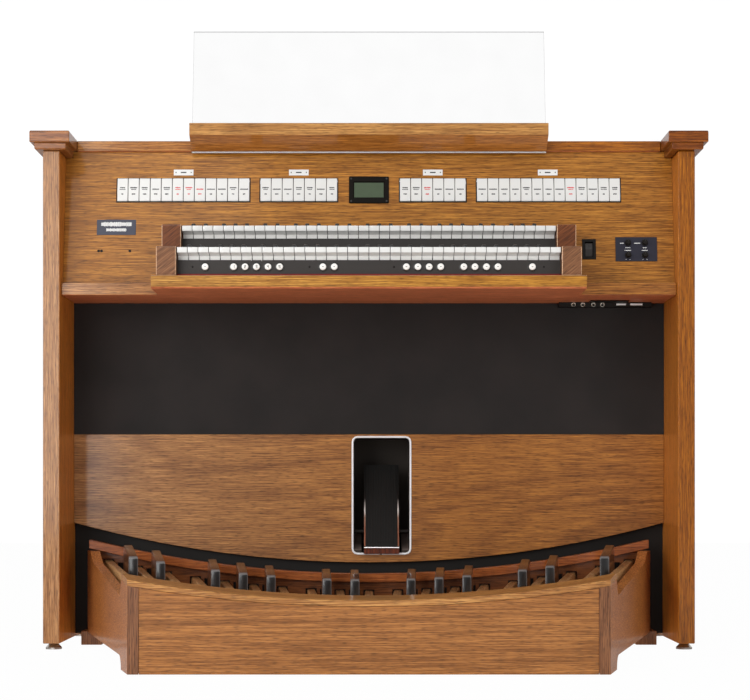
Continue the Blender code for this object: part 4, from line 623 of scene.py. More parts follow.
draw = random.Random(LABEL_SEED)
tabs, black_marks, red_marks = bmesh.new(), bmesh.new(), bmesh.new()
for bank, (start, count) in enumerate(TAB_BANKS):
    for index in range(count):
        place = on_panel(start + (index + 0.5) * TAB_PITCH, TAB_MIDDLE)
        key = (bank, index)
        if key in MOVING_TABS:
            body, node = MOVING_TABS[key]
            single = tab_shape(bmesh.new(), place)
            box(single, (-0.005, 0.0005, -0.007), (0.005, 0.0135, 0.007), place)
            finish_mesh(node + "_finish", single, "ivory", body, (node,))
            own = bmesh.new()
            tab_marks(own, place, draw)
            finish_mesh(node + "_marks", own, "mark_red" if key in RED_TABS else "mark_black",
                        body)
        else:
            tab_shape(tabs, place)
            tab_marks(red_marks if key in RED_TABS else black_marks, place, draw)
finish_mesh("stop_tabs", tabs, "ivory", "console", ("tab_rail",))
finish_mesh("tab_marks_black", black_marks, "mark_black")
finish_mesh("tab_marks_red", red_marks, "mark_red")

# The carrier behind each bank's tabs
carrier, carrier_half = bmesh.new(), TAB_HEIGHT / 2 - 0.004
for start, count in TAB_BANKS:
    box(carrier, (0.0, 0.0125, -carrier_half), (count * TAB_PITCH, 0.0185, carrier_half),
        on_panel(start, TAB_MIDDLE))
finish_mesh("tab_carrier", carrier, "well")

# Black edging round each bank's cut-out, and black fins in the gaps between its tabs as painted
# shade
EDGING_OUT, EDGING_IN = -0.0006, -0.00005
EDGING_FOOT, EDGING_HEAD = 0.0024, 0.0010
TAB_CLEARANCE = 0.0012      # of the edging above and below a moving tab
edging, gap_shade = bmesh.new(), bmesh.new()
for bank, (start, count) in enumerate(TAB_BANKS):
    width, tall = count * TAB_PITCH, TAB_HEIGHT / 2 + GAP
    place = on_panel(start, TAB_MIDDLE)
    for left, right in ((-0.0019, -0.0001), (width + 0.0001, width + 0.0019)):
        box(edging, (left, EDGING_OUT, -tall - EDGING_FOOT),
            (right, EDGING_IN, tall + EDGING_HEAD), place)
    for index in range(count):
        clear = TAB_CLEARANCE if (bank, index) in MOVING_TABS else 0.0
        left, right = index * TAB_PITCH, (index + 1) * TAB_PITCH
        for low, high in ((-tall - EDGING_FOOT, -tall - clear),
                          (tall + clear, tall + clear + EDGING_HEAD)):
            box(edging, (left, EDGING_OUT, low), (right, EDGING_IN, high), place)
    # Painted shade: a black fin in each gap between two tabs.
    for index in range(1, count):
        x = index * TAB_PITCH
        box(gap_shade, (x - TAB_GAP * 0.42, -0.0016, -tall + 0.001),
            (x + TAB_GAP * 0.42, 0.0120, tall - 0.001), place)
finish_mesh("tab_edging", edging, "well")
finish_mesh("tab_gap_shade", gap_shade, "well")

# Name strips over the banks, each with one long dash between two short ones
STRIP_LEVEL, STRIP_PROUD = 1.09855, 0.0009
strips, strip_marks = bmesh.new(), bmesh.new()
for x in (-0.429, -0.1623, 0.1479, 0.4139):
    place = on_panel(x, STRIP_LEVEL)
    plate(strips, place, 0.0456, 0.0140, STRIP_PROUD)
    for side, width in ((-0.0175, 0.0022), (0.0, 0.0130), (0.0175, 0.0022)):
        plate(strip_marks, place, width, 0.0026, MARK, side, 0.0, STRIP_PROUD)
finish_mesh("name_strips", strips, "mark_white", "console", bevel=0.0003)
finish_mesh("name_strip_marks", strip_marks, "mark_black")

# Display: bezel with a sloped inner frame, a plain screen, four screws
DISPLAY_LEVEL = 1.0569
DISPLAY_SIZE = (0.0923, 0.0640)
WINDOW_SIZE = (0.0686, 0.0360)


def frame_ring(place, size, grow, out, corner):
    """A rectangle with round corners round a place: its size grown, moved out of the face."""
    w, h = ((side + grow) / 2 for side in size)
    ring = []
    for cx, cz, start in ((w, -h, -90), (w, h, 0), (-w, h, 90), (-w, -h, 180)):
        for step in range(4):
            angle = math.radians(start + 30 * step)
            ring.append(place @ Vector((
                cx - math.copysign(corner, cx) + corner * math.cos(angle), -out,
                cz - math.copysign(corner, cz) + corner * math.sin(angle))))
    return ring


place = on_panel(0.0, DISPLAY_LEVEL)
bezel = bmesh.new()
loft(bezel, [frame_ring(place, *ring) for ring in (
    (DISPLAY_SIZE, 0.0, 0.0003, 0.0020), (DISPLAY_SIZE, 0.0, 0.0022, 0.0020),
    (DISPLAY_SIZE, -0.0016, 0.0030, 0.0016), (WINDOW_SIZE, 0.004, 0.0030, 0.0016),
    (WINDOW_SIZE, 0.0, 0.0010, 0.0010), (WINDOW_SIZE, 0.0, -0.0160, 0.0010),
    (WINDOW_SIZE, 0.005, -0.0160, 0.0016), (WINDOW_SIZE, 0.005, 0.0003, 0.0016))], closed=True)
finish_mesh("display_bezel", bezel, "bezel", "console", ("display_unit",))
screen = bmesh.new()
plate(screen, place, WINDOW_SIZE[0] - 0.0006, WINDOW_SIZE[1] - 0.0006, 0.002, 0, 0, -0.0016)
finish_mesh("display_screen", screen, "screen")
screws = bmesh.new()
across, up = (side / 2 - 0.0052 for side in DISPLAY_SIZE)
for x, z in ((-across, -up), (-across, up), (across, -up), (across, up)):
    lathe(screws, [(0.0022, -0.0004), (0.0022, 0.0002), (0.0016, 0.0006), (0.0007, 0.0006),
                   (0.0006, 0.0002)], place @ Matrix.Translation((x, -0.0030, z)) @ OUTWARD, 16)
finish_mesh("display_screws", screws, "charcoal")

# Plate at the left with strokes that spell nothing, and three small sockets under it
label, label_spot, label_proud = bmesh.new(), on_panel(-0.582, 0.9688), 0.0009
plate(label, label_spot, 0.090, 0.0366, label_proud)
finish_mesh("label_plate", label, "grey_plate", "console", bevel=0.0003)
strokes = bmesh.new()
for width, tall, level in ((0.070, 0.0105, 0.0072), (0.046, 0.0080, -0.0062)):
    word(strokes, label_spot, width, tall, level, label_proud, draw)
finish_mesh("label_strokes", strokes, "mark_white", "console")
sockets = bmesh.new()
for x in (-0.6218, -0.6150, -0.5500):
    lathe(sockets, [(0.00312, 0.0), (0.00312, 0.0008), (0.00264, 0.0010), (0.00192, 0.0008),
                    (0.00192, 0.0003)], on_panel(x, 0.9132) @ OUTWARD, 20)
finish_mesh("panel_sockets", sockets, "well")

# Power switch and control plate

dress("switch_bezel", "black", 0.0007, 3)
dress("power_rocker", "rocker", 0.0010, 3)
marks = bmesh.new()
for side, width, height in ((-1, 0.0050, 0.0012), (1, 0.0022, 0.0050)):
    slope = Matrix.Rotation(-math.radians(8.0) * side, 4, "X")
    plate(marks, on_panel(0.5064, 0.9172, -GAP) @ slope, width, height, MARK, 0.0,
          side * 0.0085)
finish_mesh("rocker_marks", marks, "charcoal", "rocker")

dress("control_plate", "plate", 0.0003)
PLATE_OUT = 0.0023
KNOB_SITES = [(x, level) for level in (0.9314, 0.9024) for x in (0.59535, 0.63425)]
KNOB_FLUTES, KNOB_STEPS = 18, 72
# Radius, height and depth of the flutes, from a knob's foot to its top
KNOB_PROFILE = ((0.0030, -0.0115, 0.0), (0.0030, 0.0004, 0.0), (0.0073, 0.0006, 0.0),
                (0.0073, 0.0030, 0.0), (0.0062, 0.0038, 0.0003), (0.0059, 0.0112, 0.0003),
                (0.0053, 0.0120, 0.0))


def fluted_ring(spot, radius, height, depth):
    ring = []
    for step in range(KNOB_STEPS):
        turn = 2 * math.pi * step / KNOB_STEPS
        reach = radius - depth * (1 + math.cos(KNOB_FLUTES * turn)) / 2
        ring.append(spot @ Vector((reach * math.cos(turn), reach * math.sin(turn), height)))
    return ring


for number, (x, level) in enumerate(KNOB_SITES, start=1):
    pointer, spot = bmesh.new(), on_panel(x, level, PLATE_OUT) @ OUTWARD
    knob = loft(bmesh.new(), [fluted_ring(spot, *ring) for ring in KNOB_PROFILE])
    finish_mesh(f"control_knob_{number}_finish", knob, "black", f"knob_{number}",
                (f"control_knob_{number}",), 30)
    box(pointer, (-0.0004, 0.0008, 0.0119), (0.0004, 0.0050, 0.0122), spot)
    finish_mesh(f"control_knob_{number}_pointer", pointer, "charcoal", f"knob_{number}")

marks = bmesh.new()
for number, (x, level) in enumerate(KNOB_SITES):
    place, right = on_panel(x, level), number % 2
    if number < 2:
        word(marks, place, 0.0150 if right else 0.0085, 0.0022, -0.0006, PLATE_OUT, draw,
             -0.0172 if right else -0.0133)
        word(marks, place, 0.0092 if right else 0.0112, 0.0020, -0.0112, PLATE_OUT, draw)
        word(marks, place, 0.0142 if right else 0.0150, 0.0022, -0.0176, PLATE_OUT, draw)
    else:
        for side in (-1, 1):
            plate(marks, place, 0.0014, 0.0014, 0.0001, side * 0.0045, -0.0096, PLATE_OUT)
finish_mesh("plate_marks", marks, "mark_white", "console")

# Polished foot of the music pane, seen under its ledge: an ivory strip that is a painted highlight
pane_low, pane_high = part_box("music_pane")
pane_foot_highlight = bmesh.new()
box(pane_foot_highlight, (pane_low[0] + 0.0006, pane_low[1] + 0.0003, pane_low[2] + 0.0002),
    (pane_high[0] - 0.0006, pane_low[1] + 0.0033, pane_low[2] + 0.0031))
finish_mesh("pane_foot_highlight", pane_foot_highlight, "ivory", "console")

# Connector panel under the shelf: four jacks, two light slots and a small plate
SOFFIT = 0.808
finish_mesh("connector_panel_finish", clean_copy("connector_panel"), "black", "console",
            ("connector_panel",), 30, 0.0004)
FACE_FRONT, FACE_RUN, FACE_DROP = FRONT + 0.172, 0.006, 0.011
face_turn = Matrix.Rotation(math.atan2(FACE_RUN, FACE_DROP), 4, "X")


def on_face(x, share):
    """Frame on the connector panel's leaning face, its Z out of the face."""
    spot = Matrix.Translation((x, FACE_FRONT + FACE_RUN * share, SOFFIT - GAP - FACE_DROP * share))
    return spot @ OUTWARD @ face_turn


jacks, pins, slots = bmesh.new(), bmesh.new(), bmesh.new()
for x in (0.484, 0.506, 0.531, 0.552):
    spot = on_face(x, 0.5)
    lathe(jacks, [(0.0052, -0.0008), (0.0052, 0.0010), (0.0044, 0.0014), (0.0040, 0.0040),
                  (0.0028, 0.0040), (0.0025, 0.0016)], spot, 24)
    lathe(pins, [(0.0014, 0.0010), (0.0014, 0.0036)], spot, 12)
finish_mesh("jack_collars", jacks, "nickel", "console")
finish_mesh("jack_pins", pins, "brass", "console")
for left, right in ((0.585, 0.608), (0.618, 0.647)):
    box(slots, (left, -0.0022, -0.0004), (right, 0.0022, 0.0007), on_face(0.0, 0.45))
finish_mesh("connector_slots", slots, "mark_white", "console", bevel=0.0003)
cover = bmesh.new()
box(cover, (0.519, FRONT + 0.130, SOFFIT - 0.0022), (0.610, FRONT + 0.1700, SOFFIT - GAP))
finish_mesh("soffit_plate", cover, "black", "console", bevel=0.0005)

# Manuals

NATURALS, KEY_PITCH, KEY_GAP = 36, 0.0233, 0.0012
KEY_HALF = NATURALS * KEY_PITCH / 2
KEY_LENGTH = 0.205
KEY_DEPTH, LIP_DEPTH = 0.0262, 0.0166       # of a natural's body and of its glossy front
SHARP_AT = 0.050
SHARP_HALF, SHARP_SIDE_GAP = 0.00525, 0.0008
OFFSETS = {0: -0.0022, 1: 0.0022, 3: -0.0028, 4: 0.0, 5: 0.0028}
SHARPS = {i: -KEY_HALF + (i + 1) * KEY_PITCH + OFFSETS[i % 7]
          for i in range(NATURALS - 1) if i % 7 in OFFSETS}
MOVING_KEY = NATURALS // 2 - 4
BED_THICKNESS = 0.010


def ring_at(left, right, depth, bottom, top, c):
    """A rectangle at a depth whose corners are cut by c."""
    return [(left + c, depth, bottom), (right - c, depth, bottom), (right, depth, bottom + c),
            (right, depth, top - c), (right - c, depth, top), (left + c, depth, top),
            (left, depth, top - c), (left, depth, bottom + c)]


def natural_key(bm, index, front, top):
    """A natural: its lip, its full width, and its tail between the neighbouring sharps."""
    left = -KEY_HALF + index * KEY_PITCH + KEY_GAP / 2
    right = left + KEY_PITCH - KEY_GAP
    clear = SHARP_HALF + SHARP_SIDE_GAP
    back_left = SHARPS[index - 1] + clear if index - 1 in SHARPS else left
    back_right = SHARPS[index] - clear if index in SHARPS else right
    c = 0.0005
    stations = ((0.0, 0.0005, -0.0112, -0.0012), (0.0004, 0.0001, -0.0118, -0.0004),
                (0.0013, 0.0, -0.0120, 0.0), (0.0296, 0.0, -0.0162, 0.0),
                (0.0300, 0.0004, -KEY_DEPTH, 0.0))
    rings = [ring_at(left + inset, right - inset, front + y, top + low, top + high, c)
             for y, inset, low, high in stations]
    shoulder = front + SHARP_AT - SHARP_SIDE_GAP
    for low, high, depth in ((left, right, shoulder), (back_left, back_right, shoulder + 0.00005),
                             (back_left, back_right, front + KEY_LENGTH)):
        rings.append(ring_at(low, high, depth, top - KEY_DEPTH, top, c))
    loft(bm, rings)


def sharp_key(bm, x, front, top):
    """A sharp: sections from its sloping front to its tail."""
    rings = []
    # Run from the naturals' front, height, half width of the top, softness of its edges
    for y, high, half_top, soft in (
            (0.0500, 0.0032, 0.0043, 0.0010), (0.0507, 0.0075, 0.0044, 0.0012),
            (0.0520, 0.0107, 0.0044, 0.0014), (0.0540, 0.0125, 0.0043, 0.0014),
            (0.0570, 0.0133, 0.0043, 0.0014), (0.0620, 0.0135, 0.0043, 0.0014),
            (0.1420, 0.0134, 0.0043, 0.0014), (0.1440, 0.0122, 0.0043, 0.0014),
            (0.1450, 0.0090, 0.0043, 0.0014), (0.1452, 0.0012, 0.0046, 0.0008),
            (KEY_LENGTH, 0.0, 0.0046, 0.0008)):
        base = min(-0.0006, high - 0.0016)
        rings.append([(x + a, front + y, top + z) for a, z in (
            (-SHARP_HALF, -0.0260), (SHARP_HALF, -0.0260), (SHARP_HALF, base),
            (half_top, high - soft), (half_top - soft * 0.35, high - soft * 0.3),
            (half_top - soft, high), (soft - half_top, high),
            (soft * 0.35 - half_top, high - soft * 0.3), (-half_top, high - soft),
            (-SHARP_HALF, base))])
    loft(bm, rings)


def natural_finish(name, bm, body, replaced=()):
    """Naturals: gloss tops and lips; a brighter matt white on the bodies under them is painted
    light in their shade.
    """
    obj = finish_mesh(name, bm, "ivory", body, replaced, 30)
    add_material(obj, "key_body")
    return obj


def paint_below(obj, level):
    """Give the faces under a level the second material."""
    for face in obj.data.polygons:
        if face.center.z < level:
            face.material_index = 1


for row, front, top, bed in (("lower", -0.1115, 0.8931, 0.854),
                             ("upper", -0.0035, 0.9557, 0.9185)):
    naturals, sharps, carriers = bmesh.new(), bmesh.new(), bmesh.new()
    for index in range(NATURALS):
        if index == MOVING_KEY:
            single = bmesh.new()
            natural_key(single, index, front, top)
            key = natural_finish(f"{row}_key_c_finish", single, f"{row}_c", (f"{row}_key_c",))
            paint_below(key, top - LIP_DEPTH)
        else:
            natural_key(naturals, index, front, top)
    for index, x in SHARPS.items():
        if index == MOVING_KEY:
            single = bmesh.new()
            sharp_key(single, x, front, top)
            finish_mesh(f"{row}_key_c_sharp_finish", single, "sharp", f"{row}_c_sharp",
                        (f"{row}_key_c_sharp",), 28)
        else:
            sharp_key(sharps, x, front, top)
    board = natural_finish(f"{row}_naturals", naturals, "console", (f"{row}_keyboard",))
    paint_below(board, top - LIP_DEPTH)
    finish_mesh(f"{row}_sharps", sharps, "sharp", "console", (), 28)
    box(carriers, (-MANUAL_HALF, front + 0.034, bed - BED_THICKNESS),
        (MANUAL_HALF, front + KEY_LENGTH, bed))
    box(carriers, (-MANUAL_HALF, front + KEY_LENGTH - BED_THICKNESS, bed),
        (MANUAL_HALF, front + KEY_LENGTH, top - KEY_DEPTH - GAP))
    if row == "lower":
        for x in (-0.36, 0.0, 0.36):
            box(carriers, (x - 0.02, front + 0.045, DESK_TOP),
                (x + 0.02, front + 0.165, bed - BED_THICKNESS))
    finish_mesh(f"{row}_key_frame", carriers, "charcoal", "console", bevel=0.0005)

# Piston rail: buttons in black rings, painted shade round them; four small sockets and a felt strip
RAIL_FRONT, RAIL_THICKNESS, RAIL_HEAD = FRONT - 0.139, 0.0060, 0.8674
PISTON_LEVEL = 0.8525
PISTON_FACE, PISTON_BORE = 0.0044, 0.0077   # how far the buttons stand out; radius of a bore
PISTONS = (-0.359, -0.2965, -0.2715, -0.2465, -0.2212, -0.1957, -0.1009, -0.0759, 0.0822, 0.1075,
           0.1322, 0.1575, 0.2081, 0.2325, 0.2577, 0.2829, 0.3583)
MOVING_PISTON = 3
dress_rail = bmesh.new()
bore_x, half = PISTONS[MOVING_PISTON], 0.0120
for left, right in ((-MANUAL_HALF, bore_x - half), (bore_x + half, MANUAL_HALF)):
    box(dress_rail, (left, RAIL_FRONT, DESK_TOP), (right, RAIL_FRONT + RAIL_THICKNESS, RAIL_HEAD))
# The block round the moving piston: a square outline and the bore through it
square, circle = [], []
for step in range(32):
    across, up = (f(2 * math.pi * step / 32) for f in (math.cos, math.sin))
    tall = RAIL_HEAD - PISTON_LEVEL if up > 0 else PISTON_LEVEL - DESK_TOP
    reach = min(half / max(abs(across), 1e-6), tall / max(abs(up), 1e-6))
    for outline, radius in ((square, reach), (circle, PISTON_BORE)):
        outline.append((bore_x + radius * across, PISTON_LEVEL + radius * up))
loft(dress_rail, [[(x, RAIL_FRONT + back, z) for x, z in outline] for outline, back in (
    (square, 0.0), (circle, 0.0), (circle, RAIL_THICKNESS), (square, RAIL_THICKNESS))],
    closed=True)
finish_mesh("piston_rail_finish", dress_rail, "charcoal", "console",
            ("piston_rail",))
BUTTON = [(0.0072, -0.0050), (0.0074, 0.0024), (0.0072, 0.0034), (0.0064, 0.0041),
          (0.0048, 0.0044), (0.0018, 0.0045)]
STROKES = {"top": (0.0, 0.0028, 0.0040, 0.0010), "middle": (0.0, 0.0, 0.0040, 0.0010),
           "foot": (0.0, -0.0028, 0.0040, 0.0010), "high_left": (-0.0015, 0.0014, 0.0010, 0.0036),
           "high_right": (0.0015, 0.0014, 0.0010, 0.0036),
           "low_left": (-0.0015, -0.0014, 0.0010, 0.0036),
           "low_right": (0.0015, -0.0014, 0.0010, 0.0036)}
DIGITS = {1: ("high_right", "low_right"),
          2: ("top", "high_right", "middle", "low_left", "foot"),
          3: ("top", "high_right", "middle", "low_right", "foot"),
          4: ("high_left", "middle", "high_right", "low_right"),
          5: ("top", "high_left", "middle", "low_right", "foot")}
buttons, shade_rings, button_marks = bmesh.new(), bmesh.new(), bmesh.new()
for index, x in enumerate(PISTONS):
    spot = Matrix.Translation((x, RAIL_FRONT, PISTON_LEVEL)) @ OUTWARD
    # Painted shade: a black ring round each button.
    lathe(shade_rings, [(0.0100, -0.0004), (0.0100, 0.0007), (0.0093, 0.0011), (0.0081, 0.0011),
                    (0.0078, 0.0003)], spot, 32)
    own = bmesh.new() if index == MOVING_PISTON else buttons
    lathe(own, BUTTON, spot, 28)
    mark = bmesh.new() if index == MOVING_PISTON else button_marks
    face = Matrix.Translation((x, RAIL_FRONT - PISTON_FACE, PISTON_LEVEL))
    for stroke in DIGITS.get(index, ("middle",)):
        across, up, wide, tall = STROKES[stroke]
        plate(mark, face, wide, tall, MARK, across, up)
    if index == MOVING_PISTON:
        finish_mesh("thumb_piston_1_finish", own, "key_body", "piston",
                    ("thumb_piston_1",), 40)
        finish_mesh("thumb_piston_1_mark", mark, "mark_black", "piston")
finish_mesh("piston_buttons", buttons, "key_body", "console", (), 40)
finish_mesh("piston_shade_rings", shade_rings, "sharp")
finish_mesh("piston_marks", button_marks, "mark_black")
lamps = bmesh.new()
for x in (-0.3866, -0.1303, 0.0550, 0.3835):
    lathe(lamps, [(0.0022, -0.0004), (0.0022, 0.0005), (0.0017, 0.0010), (0.0007, 0.0012)],
          Matrix.Translation((x, RAIL_FRONT, PISTON_LEVEL)) @ OUTWARD, 14)
finish_mesh("piston_lamps", lamps, "well")
felt = bmesh.new()
box(felt, (-MANUAL_HALF, RAIL_FRONT - 0.0035, DESK_TOP),
    (MANUAL_HALF, RAIL_FRONT - 0.0002, 0.8366))
finish_mesh("felt_strip", felt, "felt", "console")

# Expression shoe: ribbed tread, bright side edges and heel strip, covers of the ramp beside
# it, and the trim round its well with a screw in its foot

paint_facing(dress("swell_shoe", "rubber", 0.0012, 3), "shoe", TO_PLAYER, 0.97)
dress("shoe_tread", "rubber", 0.0002, 1)
SHOE_X = 0.03
shoe = Matrix.Translation((SHOE_X, FRONT + 0.188, 0.2260)) @ Matrix.Rotation(
    -math.radians(25.0), 4, "X")
edges, strip, sills, screw = (bmesh.new() for _ in range(4))
# The edges carry a painted glint and painted shade by level.
for left, right in both_sides(0.0379, 0.0417):
    box(edges, (left, -0.0014, 0.004), (right, -0.0001, 0.150), shoe)
finish_mesh("shoe_edges", edges, "shoe_edge", "expression_shoe", bevel=0.0004)
box(strip, (-0.0418, -0.0036, -0.0012), (0.0418, -0.0001, 0.0013), shoe)
finish_mesh("shoe_heel_strip", strip, "bright", "expression_shoe", bevel=0.0005)
for left, right in both_sides(0.0482, 0.0652, SHOE_X):
    loft(sills, [[(left, depth, level), (right, depth, level), (right, depth, level + 0.0008),
                  (left, depth, level + 0.0008)]
                 for depth, level in ((FRONT + 0.2030, 0.2213), (FRONT + 0.3510, 0.2649))])
finish_mesh("shoe_sills", sills, "sill")
low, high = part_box("shoe_trim")
size = (high.x - low.x, high.z - low.z)
face = Matrix.Translation(((low.x + high.x) / 2, high.y, (low.z + high.z) / 2))
trim = loft(bmesh.new(), [
    frame_ring(face, size, -2 * inset, out, 0.016 - inset)
    for inset, out in ((0.0017, 0.0), (0.0017, 0.0016), (0.0024, 0.0025), (0.0035, 0.0030),
                       (0.0050, 0.0029), (0.0060, 0.0022), (0.0066, 0.0010), (0.0066, 0.0))],
    closed=True)
# The trim's near-white finish is painted reflection.
finish_mesh("shoe_trim_finish", trim, "chrome", "console", ("shoe_trim",), 50)
lathe(screw, [(0.0020, -0.0003), (0.0020, 0.0002), (0.0014, 0.0006), (0.0006, 0.0006),
              (0.0005, 0.0002)], Matrix.Translation((0.0287, FRONT + 0.1967, 0.2115)) @ OUTWARD, 16)
finish_mesh("trim_screw", screw, "well", "console")

# Pedalboard

PEDAL_PITCH, PEDAL_ARC = 0.0632, 2.345
PEDAL_CENTRE = -0.025 - PEDAL_ARC
PEDAL_DISH = 2.650
PEDAL_TOP, PEDAL_HEIGHT, PEDAL_HALF = 0.127, 0.036, 0.010
PEDAL_HEEL, PEDAL_TOE = -0.475, 0.172
HEEL_OVER, HEEL_RAIL_FRONT = 0.012, 0.015
SHARP_RISE, SHARP_LONG, SHARP_WIDE = 0.035, 0.127, 0.01025
SHARP_CLIMB, STICK_DROP = 0.017, 0.016
BOARD_FRONT, BOARD_REAR = -0.559, 0.160
BOARD_REAR_HALF, BOARD_FRONT_HALF, CHEEK_WIDTH = 0.6630, 0.4745, 0.0229
FLARE = (BOARD_REAR_HALF - BOARD_FRONT_HALF) / (BOARD_REAR - BOARD_FRONT)
PEDALS, MOVING_NATURAL, MOVING_SHARP = 19, 9, 8.5


def dish(x, radius=PEDAL_DISH):
    return radius - math.sqrt(radius ** 2 - x ** 2)


def pedal_point(tangent, depth):
    """Centre of a pedal's top at a depth behind the side panels' front plane."""
    heel = PEDAL_TOP + dish(tangent * (PEDAL_HEEL - PEDAL_CENTRE))
    toe = PEDAL_TOP + dish(tangent * (PEDAL_TOE - PEDAL_CENTRE))
    level = heel + (toe - heel) * (depth - PEDAL_HEEL) / (PEDAL_TOE - PEDAL_HEEL)
    return tangent * (depth - PEDAL_CENTRE), level


def rounded_top(half, low, high, radius, steps=4):
    """Section of a bar with a flat foot and round upper corners, as (across, up) points."""
    ring = [(-half, low), (half, low)]
    for sign, start in ((1, 0), (-1, 90)):
        for step in range(steps + 1):
            angle = math.radians(start + 90 * step / steps)
            ring.append((sign * (half - radius) + radius * math.cos(angle),
                         high - radius + radius * math.sin(angle)))
    return ring


def pedal_bar(bm, tangent, drop=0.0):
    """One pedal's rounded bar, from its heel to its toe, or a lower one under a sharp."""
    half = PEDAL_HALF * math.hypot(1.0, tangent)
    rings = []
    for depth, shrink in ((PEDAL_HEEL - HEEL_OVER, 0.0010), (PEDAL_HEEL - HEEL_OVER + 0.001, 0.0),
                          (PEDAL_TOE - 0.0025, 0.0), (PEDAL_TOE, 0.0020)):
        x, top = pedal_point(tangent, depth)
        rings.append([(x + dx, FRONT + depth, top + dz) for dx, dz in rounded_top(
            half - shrink, -PEDAL_HEIGHT + shrink, -drop - shrink, 0.0048)])
    loft(bm, rings)


def pedal_sharp(bm, tangent):
    """The block of a sharp pedal, which climbs to its back, with a soft front."""
    stretch = math.hypot(1.0, tangent)
    half = SHARP_WIDE * stretch
    front = PEDAL_CENTRE + PEDAL_ARC / stretch
    rings = []
    for run, drop, inset in ((0.0, 0.0042, 0.0014), (0.0005, 0.0026, 0.0006),
                             (0.0014, 0.0012, 0.0), (0.0035, 0.0, 0.0),
                             (SHARP_LONG - 0.004, 0.0, 0.0), (SHARP_LONG - 0.001, 0.0016, 0.0),
                             (SHARP_LONG, 0.0040, 0.0014)):
        depth = front + run / stretch
        x, base = pedal_point(tangent, depth)
        top = SHARP_RISE + SHARP_CLIMB * run / SHARP_LONG - drop
        rings.append([(x + dx, FRONT + depth, base + dz) for dx, dz in rounded_top(
            half - inset, -STICK_DROP - 0.002, top, 0.0030)])
    return loft(bm, rings)


def sharp_blocks(name, bm, body):
    """Dark blocks whose front faces are black, with a pale painted highlight on their rounded rims.
    """
    block = finish_mesh(name, bm, "sharp_block", body, (), 40)
    paint_facing(block, "sharp_rim_highlight", TO_PLAYER, 0.30)
    paint_facing(block, "sharp_face", TO_PLAYER, 0.97)


bars, blocks = bmesh.new(), bmesh.new()
sites = []
for index in range(PEDALS):
    sites.append((index, False))
    if index % 7 in OFFSETS and index < PEDALS - 1:
        sites.append((index + 0.5, True))
for place, is_sharp in sites:
    tangent = (place - (PEDALS - 1) / 2) * PEDAL_PITCH / PEDAL_ARC
    moving = {MOVING_NATURAL: "natural_pedal", MOVING_SHARP: "sharp_pedal"}.get(place)
    own, top = (bmesh.new(), bmesh.new()) if moving else (bars, blocks)
    pedal_bar(own, tangent, STICK_DROP if is_sharp else 0.0)
    if is_sharp:
        pedal_sharp(top, tangent)
    if moving:
        body = body_of_node[moving]
        finish_mesh(moving + "_finish", own, "pedal", body, (moving,), 40)
        if is_sharp:
            sharp_blocks("sharp_pedal_block", top, body)
finish_mesh("pedal_bars", bars, "pedal", "pedalboard", ("pedal_bank",), 40)
sharp_blocks("pedal_blocks", blocks, "pedalboard")

# Dark blocks behind the front board's two end joints
low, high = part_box("pedalboard_front")
joints = bmesh.new()
for left, right in both_sides(high.x - 0.006, high.x + 0.008):
    box(joints, (left, high.y + 0.0002, low.z + 0.001), (right, high.y + 0.006, high.z - 0.006))
finish_mesh("front_joint_blocks", joints, "well", "pedalboard")

# Heel rail: it follows the pedals' dish between the cheeks
heel_half = (BOARD_FRONT_HALF + (PEDAL_HEEL - HEEL_RAIL_FRONT - BOARD_FRONT) * FLARE
             - CHEEK_WIDTH)
rings = []
for step in range(41):
    x = heel_half * (step / 20 - 1)
    top = PEDAL_TOP + dish(x) - PEDAL_HEIGHT
    front, back = FRONT + PEDAL_HEEL - HEEL_RAIL_FRONT, FRONT + PEDAL_HEEL + HEEL_OVER
    rings.append([(x, front, top - 0.025), (x, back, top - 0.025), (x, back, top - 0.0004),
                  (x, front, top - 0.0004)])
finish_mesh("heel_rail", loft(bmesh.new(), rings), "rail", "pedalboard",
            bevel=0.0008)

# Camera

camera_data = bpy.data.cameras.new("camera")
camera = bpy.data.objects.new("camera", camera_data)
bpy.context.scene.collection.objects.link(camera)
bpy.context.scene.camera = camera
camera.location = (0.0, -4.0805, 0.3565)
camera.rotation_euler = (math.radians(90.0), 0.0, 0.0)
camera_data.sensor_width, camera_data.lens = 36.0, 87.36
camera_data.shift_x, camera_data.shift_y = 0.0081, 0.1907
camera_data.clip_end = 60.0

# Floor, backdrop and light

ROOM_LIGHT = 0.36       # strength of the surroundings for all but what sees them straight
world = bpy.data.worlds.new("studio")
bpy.context.scene.world = world
world.use_nodes = True
tree = world.node_tree
background = tree.nodes["Background"]
background.inputs["Color"].default_value = grey(1.0)
rays, seen, level = (tree.nodes.new("ShaderNode" + kind)
                     for kind in ("LightPath", "Math", "MapRange"))
seen.operation = "MAXIMUM"
tree.links.new(rays.outputs["Is Camera Ray"], seen.inputs[0])
tree.links.new(rays.outputs["Is Transmission Ray"], seen.inputs[1])
level.inputs["To Min"].default_value = ROOM_LIGHT
level.inputs["To Max"].default_value = 1.0
tree.links.new(seen.outputs["Value"], level.inputs["Value"])
tree.links.new(level.outputs["Result"], background.inputs["Strength"])


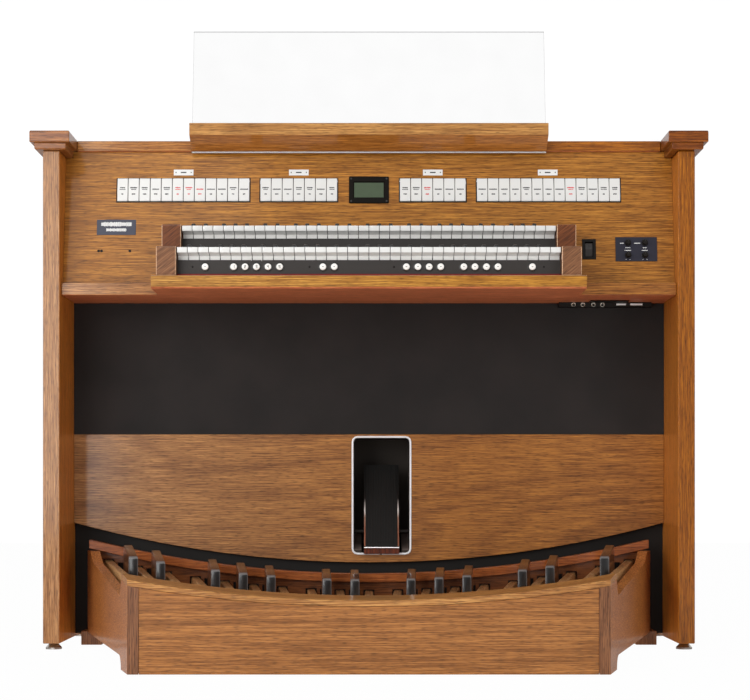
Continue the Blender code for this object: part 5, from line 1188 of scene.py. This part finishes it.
def pale_floor():
    """White to the camera with a trace of the object's shadow."""
    paint = Painter("floor", Roughness=0.9)
    haze = paint.noise(paint.coords(), 2.0, 2.0)
    paint.colour(paint.ramp(haze, (0.3, grey(0.86)), (0.7, grey(0.88))))
    glow = paint.node("Emission")
    glow.inputs["Color"].default_value = grey(1.0)
    blend = paint.node("MixShader")
    rays = paint.node("LightPath")
    bounced = rays.outputs["Is Diffuse Ray"]
    share = paint.maths("ADD", paint.maths("MULTIPLY", rays.outputs["Is Camera Ray"], 0.98),
                        paint.maths("MULTIPLY", bounced, 0.50))
    paint.link(paint.maths("ADD", 1.0, paint.maths("MULTIPLY", bounced, 0.45)),
               glow.inputs["Strength"])
    paint.link(share, blend.inputs["Fac"])
    paint.link(paint.shader.outputs["BSDF"], blend.inputs[1])
    paint.link(glow.outputs["Emission"], blend.inputs[2])
    output = paint.tree.nodes["Material Output"]
    paint.link(blend.outputs["Shader"], output.inputs["Surface"])
    return paint.material


materials["floor"] = pale_floor()
ground = bmesh.new()
box(ground, (-14.0, -14.0, -0.02), (14.0, 14.0, 0.0))
finish_mesh("floor", ground, "floor", None)


def pale_backdrop():
    """White to the camera and to reflections, dim to diffuse light."""
    paint = Painter("backdrop", Roughness=0.9)
    haze = paint.noise(paint.coords(), 0.4, 2.0)
    glow = paint.node("Emission")
    paint.link(paint.ramp(haze, (0.3, grey(0.995)), (0.7, grey(1.0))), glow.inputs["Color"])
    rays = paint.node("LightPath")
    paint.link(paint.maths("SUBTRACT", 1.02, paint.maths(
        "MULTIPLY", rays.outputs["Is Diffuse Ray"], 0.66)), glow.inputs["Strength"])
    paint.link(glow.outputs["Emission"], paint.tree.nodes["Material Output"].inputs["Surface"])
    return paint.material


materials["backdrop"] = pale_backdrop()
wall = bmesh.new()
box(wall, (-12.0, 9.0, 0.0), (12.0, 9.02, 9.0))
finish_mesh("backdrop", wall, "backdrop", None)


# Each lamp: place, point it aims at, width and height, power
LAMPS = {
    "window": ((-2.05, -4.6, 1.30), (-1.4, 0.2, 1.3), (1.5, 2.3), 50.0),
    "left_bank": ((-3.2, -3.3, 1.8), (0.0, 0.2, 0.7), (2.0, 2.4), 62.0),
    "upper": ((-1.3, -4.6, 3.4), (-0.5, 0.1, 1.0), (1.4, 1.2), 8.0),
    "right_bank": ((3.4, -3.8, 1.6), (0.0, 0.2, 0.7), (2.0, 2.6), 32.0),
    "overhead": ((-0.5, -3.0, 4.9), (0.0, 0.2, 0.8), (2.4, 1.6), 50.0),
}
for name, (place, aim, (wide, tall), power) in LAMPS.items():
    data = bpy.data.lights.new(name, "AREA")
    data.shape, data.size, data.size_y, data.energy = "RECTANGLE", wide, tall, power
    light = bpy.data.objects.new(name, data)
    bpy.context.scene.collection.objects.link(light)
    light.location = place
    light.rotation_euler = (Vector(aim) - Vector(place)).to_track_quat("-Z", "Y").to_euler()

bpy.context.scene.view_settings.view_transform = "Standard"
